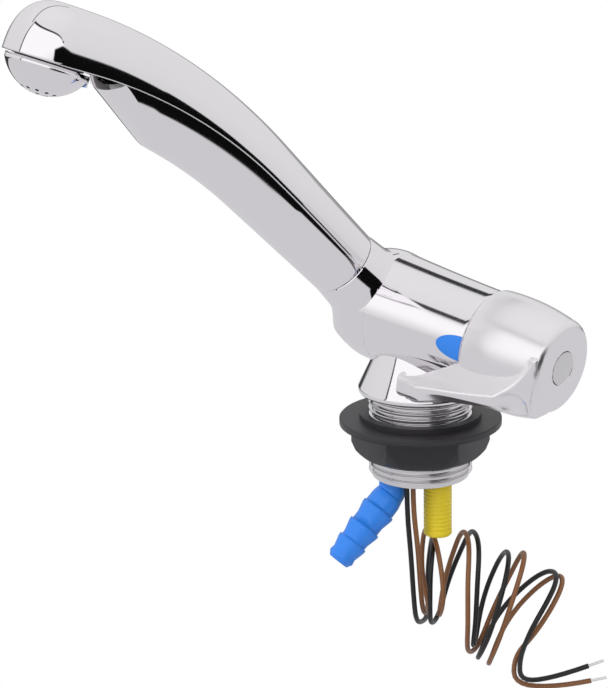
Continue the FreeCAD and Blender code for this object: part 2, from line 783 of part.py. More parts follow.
def switch_cam():
    """Cam on the spindle whose radius grows steadily with the angle, so the plunger rises evenly."""
    steps = 8
    sweep = handle_lift + 24.0
    points = []
    for i in range(steps + 1):
        angle = -12.0 + sweep * i / steps
        radius = cam_low_r + cam_lift * (angle / handle_lift)
        turned = math.radians(-90.0 + angle)
        points.append(V(0, radius * math.cos(turned), radius * math.sin(turned)))
    curve = Part.BSplineCurve()
    curve.interpolate(Points=points)
    far = math.radians(-90.0 - 12.0 + sweep + 110.0)
    back = V(0, cam_low_r * math.cos(far), cam_low_r * math.sin(far))
    closing = Part.Arc(points[-1], back, points[0]).toShape()
    face = Part.Face(Part.Wire([curve.toShape(), closing]))
    face.translate(V(cam_start, 0, 0))
    lobe = face.extrude(V(cam_width, 0, 0))
    return place_barrel(lobe.cut(bar_x(spindle_r + 0.02, cam_start - 1, cam_start + cam_width + 1)))


switch_bottom = switch_top - switch_height
switch_end = switch_start + switch_length


def switch_case():
    """Miniature switch housing below the spindle."""
    case = block(switch_start, switch_end, -switch_width / 2, switch_width / 2, switch_bottom, switch_top)
    middle = (switch_start + switch_end) / 2
    well = Part.makeCylinder(plunger_r + running, 4.0, V(middle, 0, switch_top - 3.2), V(0, 0, 1))
    screws = [bar_x(0.65, switch_start - 1, switch_end + 1, side * 4.6, switch_top - switch_height / 2)
              for side in (-1, 1)]
    return place_barrel(case.cut([well] + screws))


def switch_plunger():
    """Push button of the switch, under the cam."""
    middle = (switch_start + switch_end) / 2
    tip = -cam_low_r - 0.15
    bottom = switch_top - 3.2 + cam_lift + 0.3
    pin = Part.makeCylinder(plunger_r, tip - bottom, V(middle, 0, bottom), V(0, 0, 1))
    return place_barrel(pin)


def switch_screws():
    """Two screws that hold the switch to the cartridge ring."""
    z = switch_top - switch_height / 2
    screws = []
    for side in (-1, 1):
        shank = bar_x(0.6, ring_end - 3.2, switch_end, side * 4.6, z)
        head = bar_x(1.1, switch_end, switch_end + 0.8, side * 4.6, z)
        screws.append(place_barrel(shank.fuse(head)))
    return Part.makeCompound(screws)


def switch_terminals():
    """Two blades under the switch where the wires are joined."""
    blades = []
    for side in (-1, 1):
        blade = block(switch_start + 2.6, switch_start + 3.2,
                      side * lead_spacing - 0.8, side * lead_spacing + 0.8,
                      lead_z - 0.8, switch_bottom)
        blades.append(place_barrel(blade))
    return Part.makeCompound(blades)


def handle_sleeve(grow=0.0):
    """Round bulging cap of the handle with a rounded outer edge."""
    first = V(handle_start, 0, handle_start_r + grow)
    shoulder = V(handle_shoulder, 0, handle_end_r + grow)
    edge = V(handle_end, 0, handle_end_r - handle_edge_round + grow)
    turn = (shoulder + edge) * 0.5 + V(1, 0, 1).normalize() * (handle_edge_round * 0.28)
    wire = Part.Wire([
        Part.LineSegment(V(handle_start, 0, 0), first).toShape(),
        Part.Arc(first, V(handle_crown, 0, handle_crown_r + grow), shoulder).toShape(),
        Part.Arc(shoulder, turn, edge).toShape(),
        Part.LineSegment(edge, V(handle_end, 0, 0)).toShape(),
        Part.LineSegment(V(handle_end, 0, 0), V(handle_start, 0, 0)).toShape(),
    ])
    return Part.Face(wire).revolve(V(0, 0, 0), V(1, 0, 0), 360)


def blade_plan():
    """Upright bar with the lever's outline seen from above, in the barrel's frame before tilting."""
    rear = [V(x, y, -2 * blade_depth) for x, y in blade_rear]
    tip = [V(x, y, -2 * blade_depth) for x, y in blade_tip]
    front = [V(x, y, -2 * blade_depth) for x, y in blade_front]
    before = rear + tip[:1]
    after = tip[2:] + front + rear[:1]
    edges = [Part.LineSegment(a, b).toShape() for a, b in zip(before, before[1:])]
    edges.append(Part.Arc(*tip).toShape())
    edges += [Part.LineSegment(a, b).toShape() for a, b in zip(after, after[1:])]
    return Part.Face(Part.Wire(edges)).extrude(V(0, 0, 4 * blade_depth))


def blade_section():
    """Bar along the barrel with the lever's cross-section: concave top, ridge and blunt front."""
    top = Part.BSplineCurve()
    top.interpolate(Points=[V(0, y, z) for y, z in blade_top])
    nose = [V(0, y, z) for y, z in blade_nose]
    inner = V(0, -blade_depth / 11, 0)
    corners = [nose[-1], V(0, -0.73 * blade_depth, -blade_depth), inner - V(0, 0, blade_depth),
               inner + V(0, 0, blade_top[0][1]), V(0, *blade_top[0])]
    edges = [top.toShape(), Part.Arc(*nose).toShape()]
    edges += [Part.LineSegment(a, b).toShape() for a, b in zip(corners, corners[1:])]
    return Part.Face(Part.Wire(edges)).extrude(V(1.3 * handle_end, 0, 0))


def blade_underside():
    """Tool that bevels the lever's lower front, lofted through the bevel's upper and lower edges."""
    sections = []
    for x, high_y, high_z, low_y, low_z in blade_relief:
        high = V(x, high_y, high_z)
        low = V(x, low_y, low_z)
        along = (low - high).normalize()
        out = V(0, along.z, -along.y) * relief_reach
        corners = [high - along * relief_reach / 2, low + along * relief_reach / 2]
        corners += [corners[1] + out, corners[0] + out]
        sections.append(Part.makePolygon(corners + corners[:1]))
    return Part.makeLoft(sections, True, False)


def blade_under():
    """Block below the lever: its top steps down on a slope towards the barrel's end."""
    reach = 2 * handle_end
    corners = [V(-reach, -reach, blade_floor), V(blade_floor_bend, -reach, blade_floor),
               V(blade_floor_level, -reach, blade_floor_end), V(reach, -reach, blade_floor_end),
               V(reach, -reach, -reach), V(-reach, -reach, -reach)]
    return Part.Face(Part.makePolygon(corners + corners[:1])).extrude(V(0, 2 * reach, 0))


def handle():
    """Chromed handle: cap over the barrel's end with a lever blade towards the front."""
    blade = place_barrel(blade_plan().common(blade_section()).cut(blade_underside()))
    reach = 2 * handle_end
    blade = blade.cut(blade_under())
    keep_clear = place_barrel(turned_x([(-10, 0), (-10, ball_r + 1.4), (barrel_start, barrel_start_r + 1.0),
                                        (handle_start, handle_start_r - 0.2), (handle_start, 0)]))
    scoop = place_barrel(Part.makeSphere(scoop_r, scoop_centre))
    solid = place_barrel(handle_sleeve()).fuse(blade.cut([keep_clear, scoop]))
    cuts = [
        place_barrel(bar_x(handle_start_r - handle_wall, handle_start - 1, handle_end - handle_face_wall)),
        place_barrel(bar_x(2.1, handle_end - 20, handle_end + 1)),
        place_barrel(bar_x(screw_head_r + 0.2, handle_end - handle_face_wall + 2.0, handle_end + 1)),
        place_barrel(bar_x(cap_r + 0.1, handle_end - cap_depth, handle_end + 1)),
    ]
    return solid.cut(cuts).removeSplitter()


def handle_hub():
    """Plastic insert in the handle with a square hole on the spindle."""
    start = hub_start
    end = handle_end - handle_face_wall - 0.02
    half = drive_square / 2 + running
    outer = bar_x(handle_start_r - handle_wall - fit, start, end)
    return place_barrel(outer.cut(block(start - 1, end + 1, -half, half, -half, half)))


def handle_screw():
    """Screw from the handle's end into the spindle."""
    seat = handle_end - handle_face_wall + 2.0
    shank = bar_x(1.2, spindle_end - 8.5, seat)
    head = bar_x(screw_head_r, seat, seat + 1.8)
    slot = block(seat + 1.0, seat + 3, -0.5, 0.5, -5, 5)
    return place_barrel(shank.fuse(head).cut(slot))


def screw_cap():
    """Round cover over the screw, slightly domed."""
    face = handle_end + 0.25
    disc = bar_x(cap_r, handle_end - cap_depth + 0.02, face)
    dome = Part.makeSphere(cap_dome_r, V(face - cap_dome_r + 0.05, 0, 0))
    return place_barrel(disc.common(dome))


def hose_tail():
    """Push-in elbow with a barbed end for a 10 mm hose."""
    stub_top = ring_seat + block_height - 2.6
    bend_z = shank_bottom - tail_drop
    stub = bar_z(tail_stub_r, shank_bottom - 0.3, stub_top, inlet_port)
    body = bar_z(tail_body_r, bend_z, shank_bottom - 0.25, inlet_port)
    turn = math.radians(tail_turned)
    out = V(math.cos(turn), math.sin(turn), 0)
    slope = math.radians(tail_angle)
    start = V(inlet_port.x, inlet_port.y, bend_z)
    pivot = start + out * tail_bend_r

    def on_bend(angle):
        return pivot - out * (tail_bend_r * math.cos(angle)) - V(0, 0, 1) * (tail_bend_r * math.sin(angle))
    turn_angle = math.pi / 2 - slope
    end = on_bend(turn_angle)
    along = out * math.cos(slope) - V(0, 0, 1) * math.sin(slope)

    def swept(radius):
        circle = Part.Face(Part.Wire([Part.makeCircle(radius, start, V(0, 0, -1))]))
        return circle.revolve(pivot, V(0, 0, -1).cross(out), math.degrees(turn_angle))
    profile = [(0, -0.3), (tail_body_r + 0.1, -0.3), (tail_root_r, 1.6)]
    for station, crest, root in barbs:
        profile += [(root, station), (crest, station)]
        profile += [(crest, station + barb_land), (root - 0.3, station + barb_slope)]
    profile += [(barbs[-1][2], tail_length - 1.6), (barbs[-1][2] - 1.0, tail_length), (0, tail_length)]
    leg = turned_z(profile)
    bore_leg = bar_z(tail_bore_r, 0, tail_length + 1)
    place = FreeCAD.Placement(end, FreeCAD.Rotation(V(0, 0, 1), along))
    leg.Placement = place
    bore_leg.Placement = place
    solid = stub.fuse([body, swept(tail_body_r), leg])
    groove = ring_z(tail_stub_r + 1, tail_stub_r - seal_section, stub_top - 3.4, stub_top - 1.5, inlet_port)
    bore = bar_z(tail_bore_r, bend_z, stub_top + 1, inlet_port)
    return solid.cut([groove, bore, swept(tail_bore_r), bore_leg])


def hose_tail_seal():
    """Rubber ring on the elbow's stub."""
    stub_top = ring_seat + block_height - 2.6
    return ring_z(port_r - 0.02, tail_stub_r - seal_section + 0.02,
                  stub_top - 3.35, stub_top - 1.55, inlet_port)


def blanking_plug():
    """Ribbed plug that closes the spare port."""
    stub_top = ring_seat + block_height - 2.6
    profile = [(0, stub_top), (tail_stub_r, stub_top)]
    profile += [(tail_stub_r, ring_seat - 0.3), (plug_r, ring_seat - 0.3)]
    z = shank_bottom + 0.4
    while z - plug_rib_pitch > plug_bottom + 1.0:
        profile += [(plug_r, z), (plug_r - 0.25, z - 0.25), (plug_r - 0.25, z - 0.5), (plug_r, z - 0.75)]
        z -= plug_rib_pitch
    profile += [(plug_r, plug_bottom + 0.4), (plug_r - 0.4, plug_bottom), (0, plug_bottom)]
    plug = turned_z(profile)
    plug.translate(spare_port)
    groove = ring_z(tail_stub_r + 1, tail_stub_r - seal_section, stub_top - 3.4, stub_top - 1.5, spare_port)
    return plug.cut(groove)


def blanking_plug_seal():
    """Rubber ring on the plug's stub."""
    stub_top = ring_seat + block_height - 2.6
    return ring_z(port_r - 0.02, tail_stub_r - seal_section + 0.02,
                  stub_top - 3.35, stub_top - 1.55, spare_port)


def lay(point):
    """World point of a wire route's (along, out, up)."""
    along, out, up = point
    turn = math.radians(lay_turned)
    return V(along * math.cos(turn) + out * math.sin(turn), along * math.sin(turn) - out * math.cos(turn), up)


def rounded(points):
    """Edges of straight runs joined by tangent arcs, and the smallest arc radius."""
    edges = []
    radii = []
    last = points[0]
    for i in range(1, len(points) - 1):
        before = points[i] - points[i - 1]
        after = points[i + 1] - points[i]
        half_turn = before.getAngle(after) / 2
        leg = 0.45 * min(before.Length, after.Length)
        radii.append(leg / math.tan(half_turn))
        into = V(before).normalize()
        away = V(after).normalize()
        start = points[i] - into * leg
        end = points[i] + away * leg
        bisector = (away - into).normalize()
        middle = points[i] + bisector * (radii[-1] / math.cos(half_turn) - radii[-1])
        edges.append(Part.LineSegment(last, start).toShape())
        edges.append(Part.Arc(start, middle, end).toShape())
        last = end
    edges.append(Part.LineSegment(last, points[-1]).toShape())
    return edges, min(radii)


def biarc(p0, t0, p1, t1):
    """Two arcs from p0 to p1 that leave along t0 and arrive along t1."""
    v = p1 - p0
    t = t0 + t1
    spread = 2 * (1 - t0.dot(t1))
    if spread < 1e-9:
        d = v.dot(v) / (4 * v.dot(t0))
    else:
        d = (-v.dot(t) + math.sqrt(v.dot(t) ** 2 + spread * v.dot(v))) / spread
    q0 = p0 + t0 * d
    q1 = p1 - t1 * d
    joint = (q0 + q1) * 0.5
    middle = (q1 - q0).normalize()
    edges = []
    for a, ta, b, tb in ((p0, t0, joint, middle), (joint, middle, p1, t1)):
        chord = b - a
        half = ta.getAngle(tb) / 2
        side = (tb - ta).normalize()
        edges.append(Part.Arc(a, (a + b) * 0.5 - side * (chord.Length / 2 * math.tan(half / 2)), b).toShape())
    return edges


def coil_edges(points, first, last):
    """Arcs through the quarter-turn points of a coil."""
    tangents = [first]
    for i in range(1, len(points) - 1):
        tangents.append((points[i + 1] - points[i - 1]).normalize())
    tangents.append(last)
    edges = []
    for i in range(len(points) - 1):
        edges += biarc(points[i], tangents[i], points[i + 1], tangents[i + 1])
    return edges


def wire_bar(edges, radius):
    """Round bar along edges that join smoothly."""
    start = edges[0].valueAt(edges[0].FirstParameter)
    direction = edges[0].tangentAt(edges[0].FirstParameter)
    circle = Part.Wire([Part.makeCircle(radius, start, direction)])
    return Part.Wire(edges).makePipeShell([circle], True, False)


def edge_points(edges, step):
    """Points along edges, each with its distance from the start."""
    found = []
    before = 0.0
    for edge in edges:
        count = max(2, int(edge.Length / step))
        for i in range(count):
            share = i / count
            parameter = edge.FirstParameter + (edge.LastParameter - edge.FirstParameter) * share
            found.append((before + edge.Length * share, edge.valueAt(parameter)))
        before += edge.Length
    return found


def port_exit(side, z):
    """Place of a wire in the port block's hole, at a height."""
    turn = math.radians(lay_turned)
    return wire_port + V(side * wire_pair * math.cos(turn), side * wire_pair * math.sin(turn), z)


def wire_pieces(colour, side, drop, coil, tail):
    """The five lengths of one wire, from the switch to its bare end."""
    terminal = place_point(V(switch_start + 2.55, side * lead_spacing, lead_z))
    rise = (terminal.x - wire_way.x) * math.tan(math.radians(barrel_tilt)) - lead_sag
    way = V(wire_way.x, side * lead_spacing, terminal.z + rise)
    inner = [terminal, way, V(wire_way.x, side * lead_spacing, -3.0)]
    inner += [port_exit(side, -13.0), port_exit(side, shank_bottom)]
    outer = [port_exit(side, shank_bottom), port_exit(side, drop[0][2])] + [lay(p) for p in drop[1:]]
    turns = [lay(p) for p in coil]
    end = [lay(p) for p in tail]
    routes = {}
    routes["_lead_inside"], r0 = rounded(inner)
    routes["_wire_drop"], r1 = rounded(outer)
    routes["_wire_tail"], r2 = rounded(end)
    leaving = (outer[-1] - outer[-2]).normalize()
    arriving = (end[1] - end[0]).normalize()
    routes["_wire_coil"] = coil_edges(turns, leaving, arriving)
    coil_radii = [e.Curve.Radius for e in routes["_wire_coil"]]
    points = edge_points(routes["_wire_coil"], 0.8)
    least = min((p - q).Length for s0, p in points for s1, q in points if s1 - s0 > 8 * wire_r)
    made = {}
    for name, edges in routes.items():
        bar = wire_bar(edges, wire_r)
        length = sum(e.Length for e in edges)
        made[colour + name] = bar
        print(colour + name, "length", round(length, 1), "volume share",
              round(bar.Volume / (math.pi * wire_r ** 2 * length), 4))
    print(colour, "radii: inside", round(r0, 1), "drop", round(r1, 1), "end", round(r2, 1),
          "coil", round(min(coil_radii), 1), "to", round(max(coil_radii), 1),
          "least gap of the coil to itself", round(least - 2 * wire_r, 2))
    along = (end[-1] - end[-2]).normalize()
    made[colour + "_wire_core"] = cylinder(core_r, end[-1], core_length, along)
    return made, points


def place_point(point):
    """World point of a point given in the barrel's frame."""
    turned = FreeCAD.Rotation(V(0, 1, 0), barrel_tilt).multVec(point)
    return turned + ball_centre


def wire_grommet():
    """Rubber bush round the two wires in the port block."""
    bush = bar_z(wire_pair + wire_r + 0.45, ring_seat + 0.3, grommet_top, wire_port)
    holes = [bar_z(wire_r + 0.05, shank_bottom - 1, grommet_top + 1, port_exit(side, 0)) for side in (-1, 1)]
    return bush.cut(holes)


def inlet_tube():
    """Tube from the port block up to the valve's inlet."""
    low = ring_seat + block_height - 1.9
    points = [V(inlet_port.x, inlet_port.y, low), V(inlet_port.x, inlet_port.y, -10.5),
              V(inlet_way.x, inlet_way.y, -2.5), V(inlet_way.x, inlet_way.y, 9.0)]
    edges, radius = rounded(points)
    return wire_bar(edges, inlet_tube_r).cut(wire_bar(edges, inlet_tube_r - 0.8))


pieces = {
    "body_shell": body_shell,
    "collar_seal": collar_seal,
    "blue_marker": blue_marker,
    "threaded_shank": threaded_shank,
    "port_block": port_block,
    "shank_ring": shank_ring,
    "mounting_nut": mounting_nut,
    "nut_washer": nut_washer,
    "spout_upper_shell": spout_upper_shell,
    "spout_lower_shell": spout_lower_shell,
    "spout_spigot": spout_spigot,
    "spout_seal": spout_seal,
    "spout_clip": spout_clip,
    "water_tube": water_tube,
    "rose_holder": rose_holder,
    "rose_seal": rose_seal,
    "outlet_rose": outlet_rose,
    "cartridge_body": cartridge_body,
    "cartridge_ring": cartridge_ring,
    "fixed_disc": fixed_disc,
    "moving_disc": moving_disc,
    "spindle": spindle,
    "spindle_seal": spindle_seal,
    "switch_cam": switch_cam,
    "switch_case": switch_case,
    "switch_plunger": switch_plunger,
    "switch_screws": switch_screws,
    "switch_terminals": switch_terminals,
    "handle": handle,
    "handle_hub": handle_hub,
    "handle_screw": handle_screw,
    "screw_cap": screw_cap,
    "hose_tail": hose_tail,
    "hose_tail_seal": hose_tail_seal,
    "blanking_plug": blanking_plug,
    "blanking_plug_seal": blanking_plug_seal,
    "wire_grommet": wire_grommet,
    "inlet_tube": inlet_tube,
}

os.makedirs("parts", exist_ok=True)
shapes = {name: make() for name, make in pieces.items()}
black, black_points = wire_pieces("black", -1, black_drop, black_coil, black_tail)
brown, brown_points = wire_pieces("brown", 1, brown_drop, brown_coil, brown_tail)
shapes.update(black)
shapes.update(brown)
pair = min((p - q).Length for s0, p in black_points for s1, q in brown_points)
print("least gap between the two coils", round(pair - 2 * wire_r, 2))
for name, shape in shapes.items():
    shape.exportStep(os.path.join("parts", name + ".step"))
    print(name, "solids", len(shape.Solids), "valid", shape.isValid(), "volume", round(shape.Volume, 1))
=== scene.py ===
"""Dresses the cold water tap: chrome castings, black nut, blue elbow, yellow plug and two coiled wires."""

import json
import math

import bmesh
import bpy
import numpy as np
from mathutils import Matrix, Vector


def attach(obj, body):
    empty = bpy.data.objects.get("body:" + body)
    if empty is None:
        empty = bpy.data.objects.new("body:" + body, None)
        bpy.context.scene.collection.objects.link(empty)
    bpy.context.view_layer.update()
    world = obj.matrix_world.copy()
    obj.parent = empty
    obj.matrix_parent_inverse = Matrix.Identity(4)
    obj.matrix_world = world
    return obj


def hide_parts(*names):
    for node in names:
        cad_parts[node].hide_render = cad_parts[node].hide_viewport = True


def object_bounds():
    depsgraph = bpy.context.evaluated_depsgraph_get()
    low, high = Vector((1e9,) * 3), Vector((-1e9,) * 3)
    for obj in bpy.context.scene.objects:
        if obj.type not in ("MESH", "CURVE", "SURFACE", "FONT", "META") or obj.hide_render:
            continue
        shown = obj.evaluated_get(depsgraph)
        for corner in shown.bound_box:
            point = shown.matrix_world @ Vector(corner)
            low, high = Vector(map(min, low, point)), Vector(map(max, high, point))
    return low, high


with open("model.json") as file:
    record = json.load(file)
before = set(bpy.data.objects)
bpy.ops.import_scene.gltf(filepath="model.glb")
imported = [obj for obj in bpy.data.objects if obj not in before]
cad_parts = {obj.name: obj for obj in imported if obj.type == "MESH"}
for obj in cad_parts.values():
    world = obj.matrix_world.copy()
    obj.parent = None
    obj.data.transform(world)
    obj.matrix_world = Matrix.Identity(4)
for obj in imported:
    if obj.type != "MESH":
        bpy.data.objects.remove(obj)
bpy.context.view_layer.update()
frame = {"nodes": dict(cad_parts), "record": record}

MM = 0.001
UP = np.array([0.0, 0.0, 1.0])

# The camera: the photograph's angle, in degrees, millimetres and pixels
VIEW_TURNED = 40.71
VIEW_ELEVATION = 16.06
VIEW_ROLL = -1.16
VIEW_DISTANCE = 600.0
VIEW_AIM = (-35.38, 14.64)
FOCAL_PIXELS = 1956.0
PHOTO_HEIGHT = 688
SENSOR = 36.0
CLIP_START = 0.01

# Sizes and places below are those of the solids, in millimetres and degrees, with small roundings added. A
# pair is (distance along the piece's axis, radius) unless its comment says otherwise.

# Threaded shank
SHANK_R = 16.0
THREAD_DEPTH = 1.0
THREAD_PITCH = 2.0
SHANK_CORE_R = SHANK_R - THREAD_DEPTH
SHANK_WALL = 2.0
SHANK_BORE_R = SHANK_CORE_R - SHANK_WALL
SHANK_TOP = 5.0
SHANK_BOTTOM = -27.0
SHANK_FOOT_EDGE = 0.1
THREAD_TOP = -0.4
THREAD_RINGS = 13
# One ring of the thread, as (share of half a pitch, share of the depth), with a rounded crest
THREAD_RING = np.array([[0.0, 0.0], [0.12, 0.03], [0.42, 0.72], [0.52, 0.93], [0.64, 1.0],
                        [0.86, 1.0], [0.98, 0.93], [1.08, 0.72], [1.38, 0.03], [1.5, 0.0]])

# Ball end and barrel
BALL_CENTRE = np.array([-12.0, 0.0, 24.9])
BALL_R = 17.5
BARREL_TILT = 8.0
BARREL_START = (3.5, 17.1)
BARREL_WAIST = (17.0, 16.25)
BARREL_END = (38.2, 15.3)
BARREL_EDGE = 0.2
BARREL_DIMPLE = 4.0

# Collar: its rim is (height, inset from its radius), from the cone's foot down to the worktop
COLLAR_LAND = 3.1
COLLAR_DRAFT = 3.5
COLLAR_R = SHANK_R + COLLAR_LAND
COLLAR_TOP_R = COLLAR_R - COLLAR_DRAFT
COLLAR_HEIGHT = 8.8
COLLAR_EDGE = 1.4
COLLAR_RIM = ((COLLAR_EDGE + 0.5, 0.15), (COLLAR_EDGE + 0.1, 0.0), (0.7, 0.0), (0.25, 0.2), (0.0, 0.6))
COLLAR_STEP = 2.2
COLLAR_HIDDEN_TOP = (13.5, COLLAR_TOP_R - COLLAR_STEP)
COLLAR_HOLLOW = (4.0, 15.2)

# Neck
NECK_ROOT = np.array([-12.8, 0.0, 24.9])
NECK_RISE = 45.0
NECK_LENGTH = 22.0
NECK_SEAM_R = 11.1
NECK_ROOT_R = 13.4
NECK_HIDDEN_START = 2.0
NECK_EDGE = 0.25
NECK_FLARE = 4.0
NECK_FLARE_END = 15.5
NECK_FLARE_RUN = 10.0

# Spout: stations are distances from the neck's root along its path. A pair is (at the neck, at the head).
# The oval powers are those of bent(), and the search for the bow's edge starts BOW_SEARCH before the bow's
# station.
SPOUT_TURNED = 20.0
SPOUT_STRAIGHT = 64.0
SPOUT_ARC_R = 158.0
SPOUT_ARC_TURN = 23.5
SPOUT_ARC_LENGTH = SPOUT_ARC_R * math.radians(SPOUT_ARC_TURN)
SPOUT_HEAD_RUN = 8.4
SPOUT_LENGTH = SPOUT_STRAIGHT + SPOUT_ARC_LENGTH + SPOUT_HEAD_RUN
SPOUT_HALF = 12.4
SPOUT_WIDENING = 30.0
HEAD_HALF = 12.9
SPOUT_TOP = (11.0, 16.4)
SPOUT_SWELL = 1.8
SPOUT_BOTTOM = (11.1, 12.3)
KEEL_RISE = 0.1
PARTING_BOW = 1.1
OVAL_POWER = (2.0, 2.4)
SPOUT_WALL = 2.2
SPOUT_EDGE = 0.25
SEAM_GAP = 0.3
SEAM_STATION = NECK_LENGTH + SEAM_GAP
BOW_STATION = 99.5
BOW_BACK = 12.0
BOW_R = 24.0
BOW_SEARCH = 30.0
ROSE_HOLES_R = 6.5
HOLE_WALL_FACING = 0.3

# Direction along no piece's axis, across which the rings of a turned surface start
RING_START = (0.31, 0.87, 0.38)

# Rows and columns of the surfaces
PROFILE_ROWS = 60
BARREL_COLUMNS = 192
NECK_COLUMNS = 160
COLLAR_COLUMNS = 160
SHANK_COLUMNS = 192
SHELL_ROWS = 140
SHELL_COLUMNS = 121
DOME_ROWS = 60
KEEL_ROWS = 120
KEEL_COLUMNS = 97
BOW_ROWS = 30
HALVINGS = 40

# Angles past which an edge stays sharp, in degrees, and distances within which points are one, in metres
SHARP = 35.0
KEEL_SHARP = 25.0
THREAD_SHARP = 40.0
COPY_SHARP = 30.0
ALL_SMOOTH = 180.0
SURFACE_JOIN = 1e-7
COPY_JOIN = 1e-6

# The handle's softened edges: grain of the remeshed surface and rounds of smoothing
HANDLE_VOXEL = 0.32
HANDLE_ROUNDS = 10

# Wires: their routes are (along, out, up), where along points to the photograph's right and out to its
# camera. A drop and a tail are chosen points, and a coil is given by its quarter turns. Free lengths are in
# metres.
WIRE_R = 0.8
WIRE_PORT = np.array([0.9, -6.6])
WIRE_PAIR = 0.95
LAY_TURNED = 40.7
ROUND_SLOPE = 0.83
POINTS_PER_QUARTER = 4
BLACK_DROP = [(-4.57, 5.59, -38), (-3.4, 5.2, -52), (-2.6, 3.6, -66), (-1.6, 0.2, -77.6), (1.5, -8.0, -80.7)]
BLACK_COIL = [
    (1.5, -8.0, -80.7), (3.6, -18.5, -65.0), (4.4, -6.0, -51.4), (2.6, 4.6, -65.0),
    (4.7, -3.6, -78.8), (12.0, -14.6, -63.5), (17.5, -1.4, -48.4), (16.7, 9.8, -67.0),
    (16.8, 0.8, -85.4), (22.0, -10.4, -70.0), (27.3, 3.0, -53.3), (21.8, 15.0, -70.5),
    (17.8, 5.2, -87.5), (28.3, -5.0, -73.0), (41.8, 7.4, -58.5), (32.0, 19.0, -74.0),
]
BLACK_TAIL = [
    (32.0, 19.0, -74.0), (29.6, 15.5, -83.5), (30.4, 12.0, -93.2), (42.0, 9.6, -92.9), (52.2, 9.0, -89.5),
]
BROWN_DROP = [(-2.67, 5.59, -37), (-1.2, 4.9, -50), (-0.4, 3.0, -63), (0.6, -0.6, -74.4), (2.7, -8.0, -77.9)]
BROWN_COIL = [
    (2.7, -8.0, -77.9), (1.2, -15.2, -62.5), (3.4, -7.2, -48.7), (6.6, 5.4, -62.5),
    (6.0, -3.6, -76.4), (9.8, -11.2, -62.5), (14.6, -1.4, -48.4), (13.9, 11.0, -67.5),
    (16.2, 0.8, -87.8), (25.8, -7.0, -71.5), (32.3, 3.0, -53.4), (25.2, 14.0, -72.0),
    (21.2, 5.2, -89.7), (31.0, -4.5, -75.0), (43.8, 7.4, -59.9), (33.2, 17.0, -75.5),
]
BROWN_TAIL = [
    (33.2, 17.0, -75.5), (28.2, 13.2, -84.0), (28.6, 9.6, -95.2), (42.5, 8.4, -97.0), (53.2, 8.2, -95.0),
]

# The surround that the chrome mirrors, in degrees: turn runs round the vertical from +X towards +Y, and
# rise starts at level. Its stops are (share of the way from straight down to straight up, grey). A patch is
# its sides (left, right, low, high), half the width of its soft edges, and its grey. The bar's sides are in
# the direction's X and Y instead.
STUDIO_BLUE = 1.01
SURROUND = ((0.0, 0.66), (0.35, 0.70), (0.50, 0.74), (0.62, 0.78), (0.80, 0.80), (1.0, 0.86))
WINDOW = ((-118.0, -9.0, -70.0, 0.0), 1.0, 1.08)
WINDOW_FADE = (-6.0, 20.0)
LINTEL_LINE = ((-124.0, -9.0, 0.5, 4.0), 0.6, 0.02)
JAMB_LINE = ((-122.0, -119.0, -60.0, 1.0), 0.4, 0.03)
FLAG = ((-31.0, 48.0, -60.0, 0.0), 1.5, 0.004)
STRIP = ((96.0, 166.0, -20.0, 8.0), 3.0, 0.35)
BAR = ((-0.405, -0.375, -0.45, 0.75), 0.004, 0.03)
BAR_FADE = (12.0, 16.0)
# The window's top is a quarter of an ellipse over this turn: highest at its start and lowest at its end
LINTEL_SPAN = (-120.0, -12.0)
LINTEL_LOW = 20.0
LINTEL_RISE = 35.0
# The flag's top is the lower of two slanted lines over this turn, each (rise at its start, rise at its end)
FLAG_SPAN = (-12.0, 19.0)
FLAG_LINES = ((17.0, -3.2), (48.0, -14.0))

# The floor, in metres, with tones that only the chrome sees: a dark ground on the tap's right and a dark
# far side. The ground starts at an X that moves out over a span of Y, and fades where Y less a share of X
# passes a value. The far side starts where Y less X passes one.
FLOOR_GAP = 0.002
FLOOR_REACH = 2.0
FLOOR_TONE = (0.66, 0.66, 0.675, 1.0)
GROUND = ((0.0, 3.0, -0.45, 0.6), 0.02, 0.004)
GROUND_SPAN = (-0.11, -0.07)
GROUND_START = (0.26, 0.34)
GROUND_SLOPE = 0.2
GROUND_FADE = (0.09, 0.05)
FAR_SIDE = (0.75, 0.85)
FAR_GREY = 0.05


def unit(v):
    """Vectors scaled to length 1."""
    v = np.asarray(v, float)
    return v / np.linalg.norm(v, axis=-1, keepdims=True)


def add_camera():
    """Camera on a long lens, looking down at the tap from its front right."""
    a, e, roll = (math.radians(v) for v in (VIEW_TURNED, VIEW_ELEVATION, VIEW_ROLL))
    back = np.array([math.sin(a) * math.cos(e), -math.cos(a) * math.cos(e), math.sin(e)])
    right = np.array([math.cos(a), math.sin(a), 0.0])
    up = np.cross(back, right)
    aim = right * VIEW_AIM[0] + up * VIEW_AIM[1]
    camera = bpy.data.cameras.new("camera")
    camera.sensor_fit = "VERTICAL"
    camera.sensor_height = SENSOR
    camera.lens = FOCAL_PIXELS / PHOTO_HEIGHT * SENSOR
    camera.clip_start = CLIP_START
    obj = bpy.data.objects.new("camera", camera)
    matrix = np.eye(4)
    matrix[:3, 0] = math.cos(roll) * right + math.sin(roll) * up
    matrix[:3, 1] = -math.sin(roll) * right + math.cos(roll) * up
    matrix[:3, 2] = back
    matrix[:3, 3] = (aim + VIEW_DISTANCE * back) * MM
    obj.matrix_world = Matrix(matrix.tolist())
    bpy.context.scene.collection.objects.link(obj)
    bpy.context.scene.camera = obj


# Finishes

def linear(hexa):
    """Linear RGBA of an sRGB hex colour."""
    parts = [int(hexa[i:i + 2], 16) / 255 for i in (1, 3, 5)]
    return [p / 12.92 if p <= 0.04045 else ((p + 0.055) / 1.055) ** 2.4 for p in parts] + [1.0]


